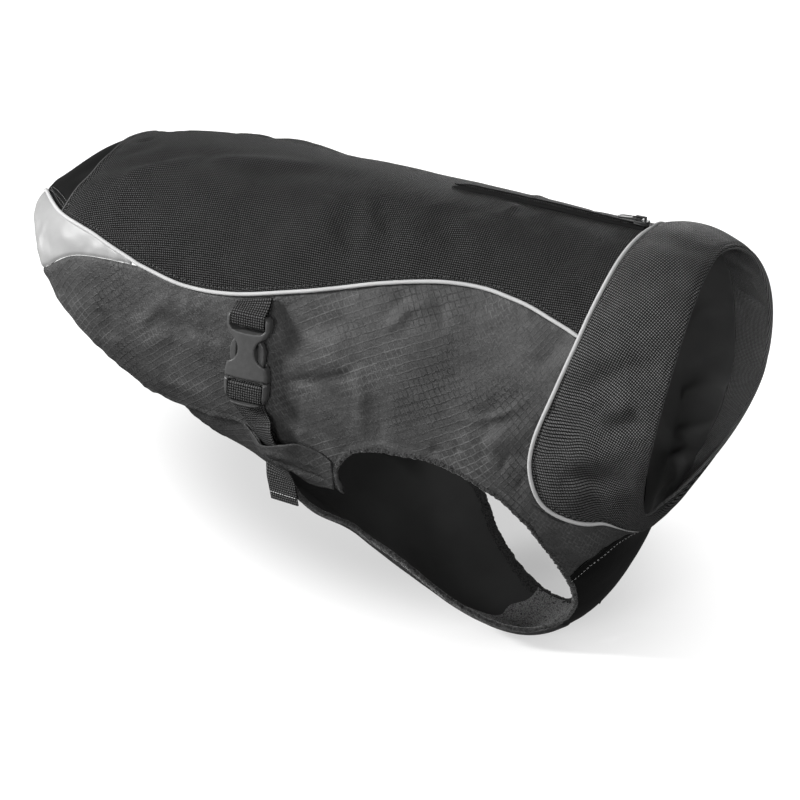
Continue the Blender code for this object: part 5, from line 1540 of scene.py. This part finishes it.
# The back zip: a black coil zip let into the ridge between two narrow welts, with a small metal
# slider at the collar end and a pull tab lying back along the ridge.
ZIP_FROM = 5.0
ZIP_TO = 9.93
ZIP_HALF = 2.9         # degrees
WELT_EDGE = 4.4        # mm from the middle to the welt's outer edge
SLIDER_X = 65.0
ZIP_FACE = 1.45        # mm of the tape's face above the coat's surface
SLIDER_LIFT = 0.8
SLIDER_HIGH = 2.6
ARCH_HIGH = 3.2
PULL_THICK = 1.2
PULL_REST = -4.0       # degrees: its tip lies lower than its hinge


def metal_finish():
    """Dark painted zinc, a little worn."""
    finish = Finish("zip metal", 40, 0.35, Metallic=0.4, Specular_IOR_Level=0.4)
    finish.colour(finish.noise(900, 3), 22, 70)
    return finish.material


zip_tape = smooth_finish("zip tape", 15, 0.7, 0.1)
zip_teeth = smooth_finish("zip coil", 10, 0.6, 0.2)
zip_metal = metal_finish()
zip_rows = np.linspace(ZIP_FROM, ZIP_TO, 150)
zip_turns = np.linspace(-ZIP_HALF, ZIP_HALF, 31)
places = np.stack(np.broadcast_arrays(zip_rows[:, None], zip_turns[None]), -1)
offset = np.abs(zip_turns[None]) / ZIP_HALF * WELT_EDGE
welts = (0.75 * np.exp(-((offset - 2.4) / 1.2) ** 2) - 0.5 * np.exp(-(offset / 0.9) ** 2)
         - 0.8 * np.exp(-((offset - WELT_EDGE) / 0.9) ** 2)
         - 1.6 * np.clip(1 - (zip_rows[:, None] - ZIP_FROM) / 0.35, 0, 1) ** 2)
base = section_point(places[..., 0], places[..., 1])
welts = welts + ZIP_FACE - 0.35 + 0.12 * speckle(base, 9.0, 71)
points, normals = skin(places[..., 0], places[..., 1], welts)
tape = sheet_mesh("zip_tape_cloth", points, normals, cloth_map(places, 0), (zip_tape,), 0.7)
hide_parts("zip_tape")
points, normals = skin(zip_rows, 0 * zip_rows, ZIP_FACE - 0.3)
coil = stitches("zip_coil", points, normals, zip_teeth, length=0.8, width=2.6, high=0.45, pitch=1.15)


def place_on_back(x, out):
    """A frame on the back's ridge at a given x: x forward, y left, z out of the coat."""
    rows = np.linspace(ZIP_FROM, ZIP_TO, 200)
    points, normals = skin(rows, 0)
    nearest = np.abs(points[:, 0] - x).argmin()
    up = Vector(normals[nearest])
    side = Vector((0, 1, 0))
    turn = Matrix((side.cross(up), side, up)).transposed().to_4x4()
    return Matrix.Translation(Vector(points[nearest] + normals[nearest] * out) / 1000) @ turn


SLIDER_OUTLINE = np.array([
    (-4.25, 1.8), (-2.75, 2.6), (1.5, 3.3), (4.25, 3.3), (5.05, 1.6), (5.05, -1.6), (4.25, -3.3), (1.5, -3.3),
    (-2.75, -2.6), (-4.25, -1.8),
])
PULL_OUTLINE = np.array([
    (0.6, -2.6), (0.6, 2.6), (-1.5, 2.5), (-13.0, 2.5), (-14.4, 1.9), (-15.0, 0.5), (-15.0, -0.5),
    (-14.4, -1.9), (-13.0, -2.5), (-1.5, -2.5),
])
seat = place_on_back(SLIDER_X, ZIP_FACE + SLIDER_LIFT)
low = np.array((-6.0, -4.5, -0.9))
x, y, z = np.meshgrid(*(np.arange(a, b, 0.22) for a, b in zip(low, (6.5, 4.6, 6.6))), indexing="ij")
slider = both(outline_distance(x, y, SLIDER_OUTLINE), np.maximum(-z, z - SLIDER_HIGH), 0.7)
slider = less(slider, box_distance(x, np.abs(y), z, (-9, 2.1, 0.9), (9, 5.0, 1.7), 0.2), 0.2)
arch = box_distance(x, y, z, (-3.4, -0.9, SLIDER_HIGH - 0.8), (3.4, 0.9, SLIDER_HIGH + ARCH_HIGH - 0.5), 0.5)
eye = box_distance(x, y, z, (-2.1, -3, SLIDER_HIGH), (2.1, 3, SLIDER_HIGH + ARCH_HIGH - 1.6), 0.3)
arch = less(arch, eye, 0.3)
slider = skinned("zip_slider_body", np.minimum(slider, arch), low, 0.22, seat, zip_metal)
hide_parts("zip_slider")
pivot = (seat @ Matrix.Translation((0, 0, (SLIDER_HIGH + (ARCH_HIGH - 1.1) / 2) / 1000))
         @ Matrix.Rotation(math.radians(PULL_REST), 4, "Y"))
low = np.array((-16.5, -4.0, -1.6))
x, y, z = np.meshgrid(*(np.arange(a, b, 0.24) for a, b in zip(low, (2.0, 4.1, 1.7))), indexing="ij")
pull = both(outline_distance(x, y, PULL_OUTLINE), np.abs(z) - PULL_THICK / 2, 0.35)
pull = less(pull, np.maximum(np.abs(x + 3.1) - 2.5, np.abs(y) - 1.5), 0.25)
pull = less(pull, box_distance(x, y, np.abs(z), (-13.4, -1.5, 0.35), (-7.2, 1.5, 3.0), 0.3), 0.2)
pull = skinned("zip_pull_tab", pull, low, 0.24, pivot, zip_metal, "zip_pull")
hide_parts("zip_pull")
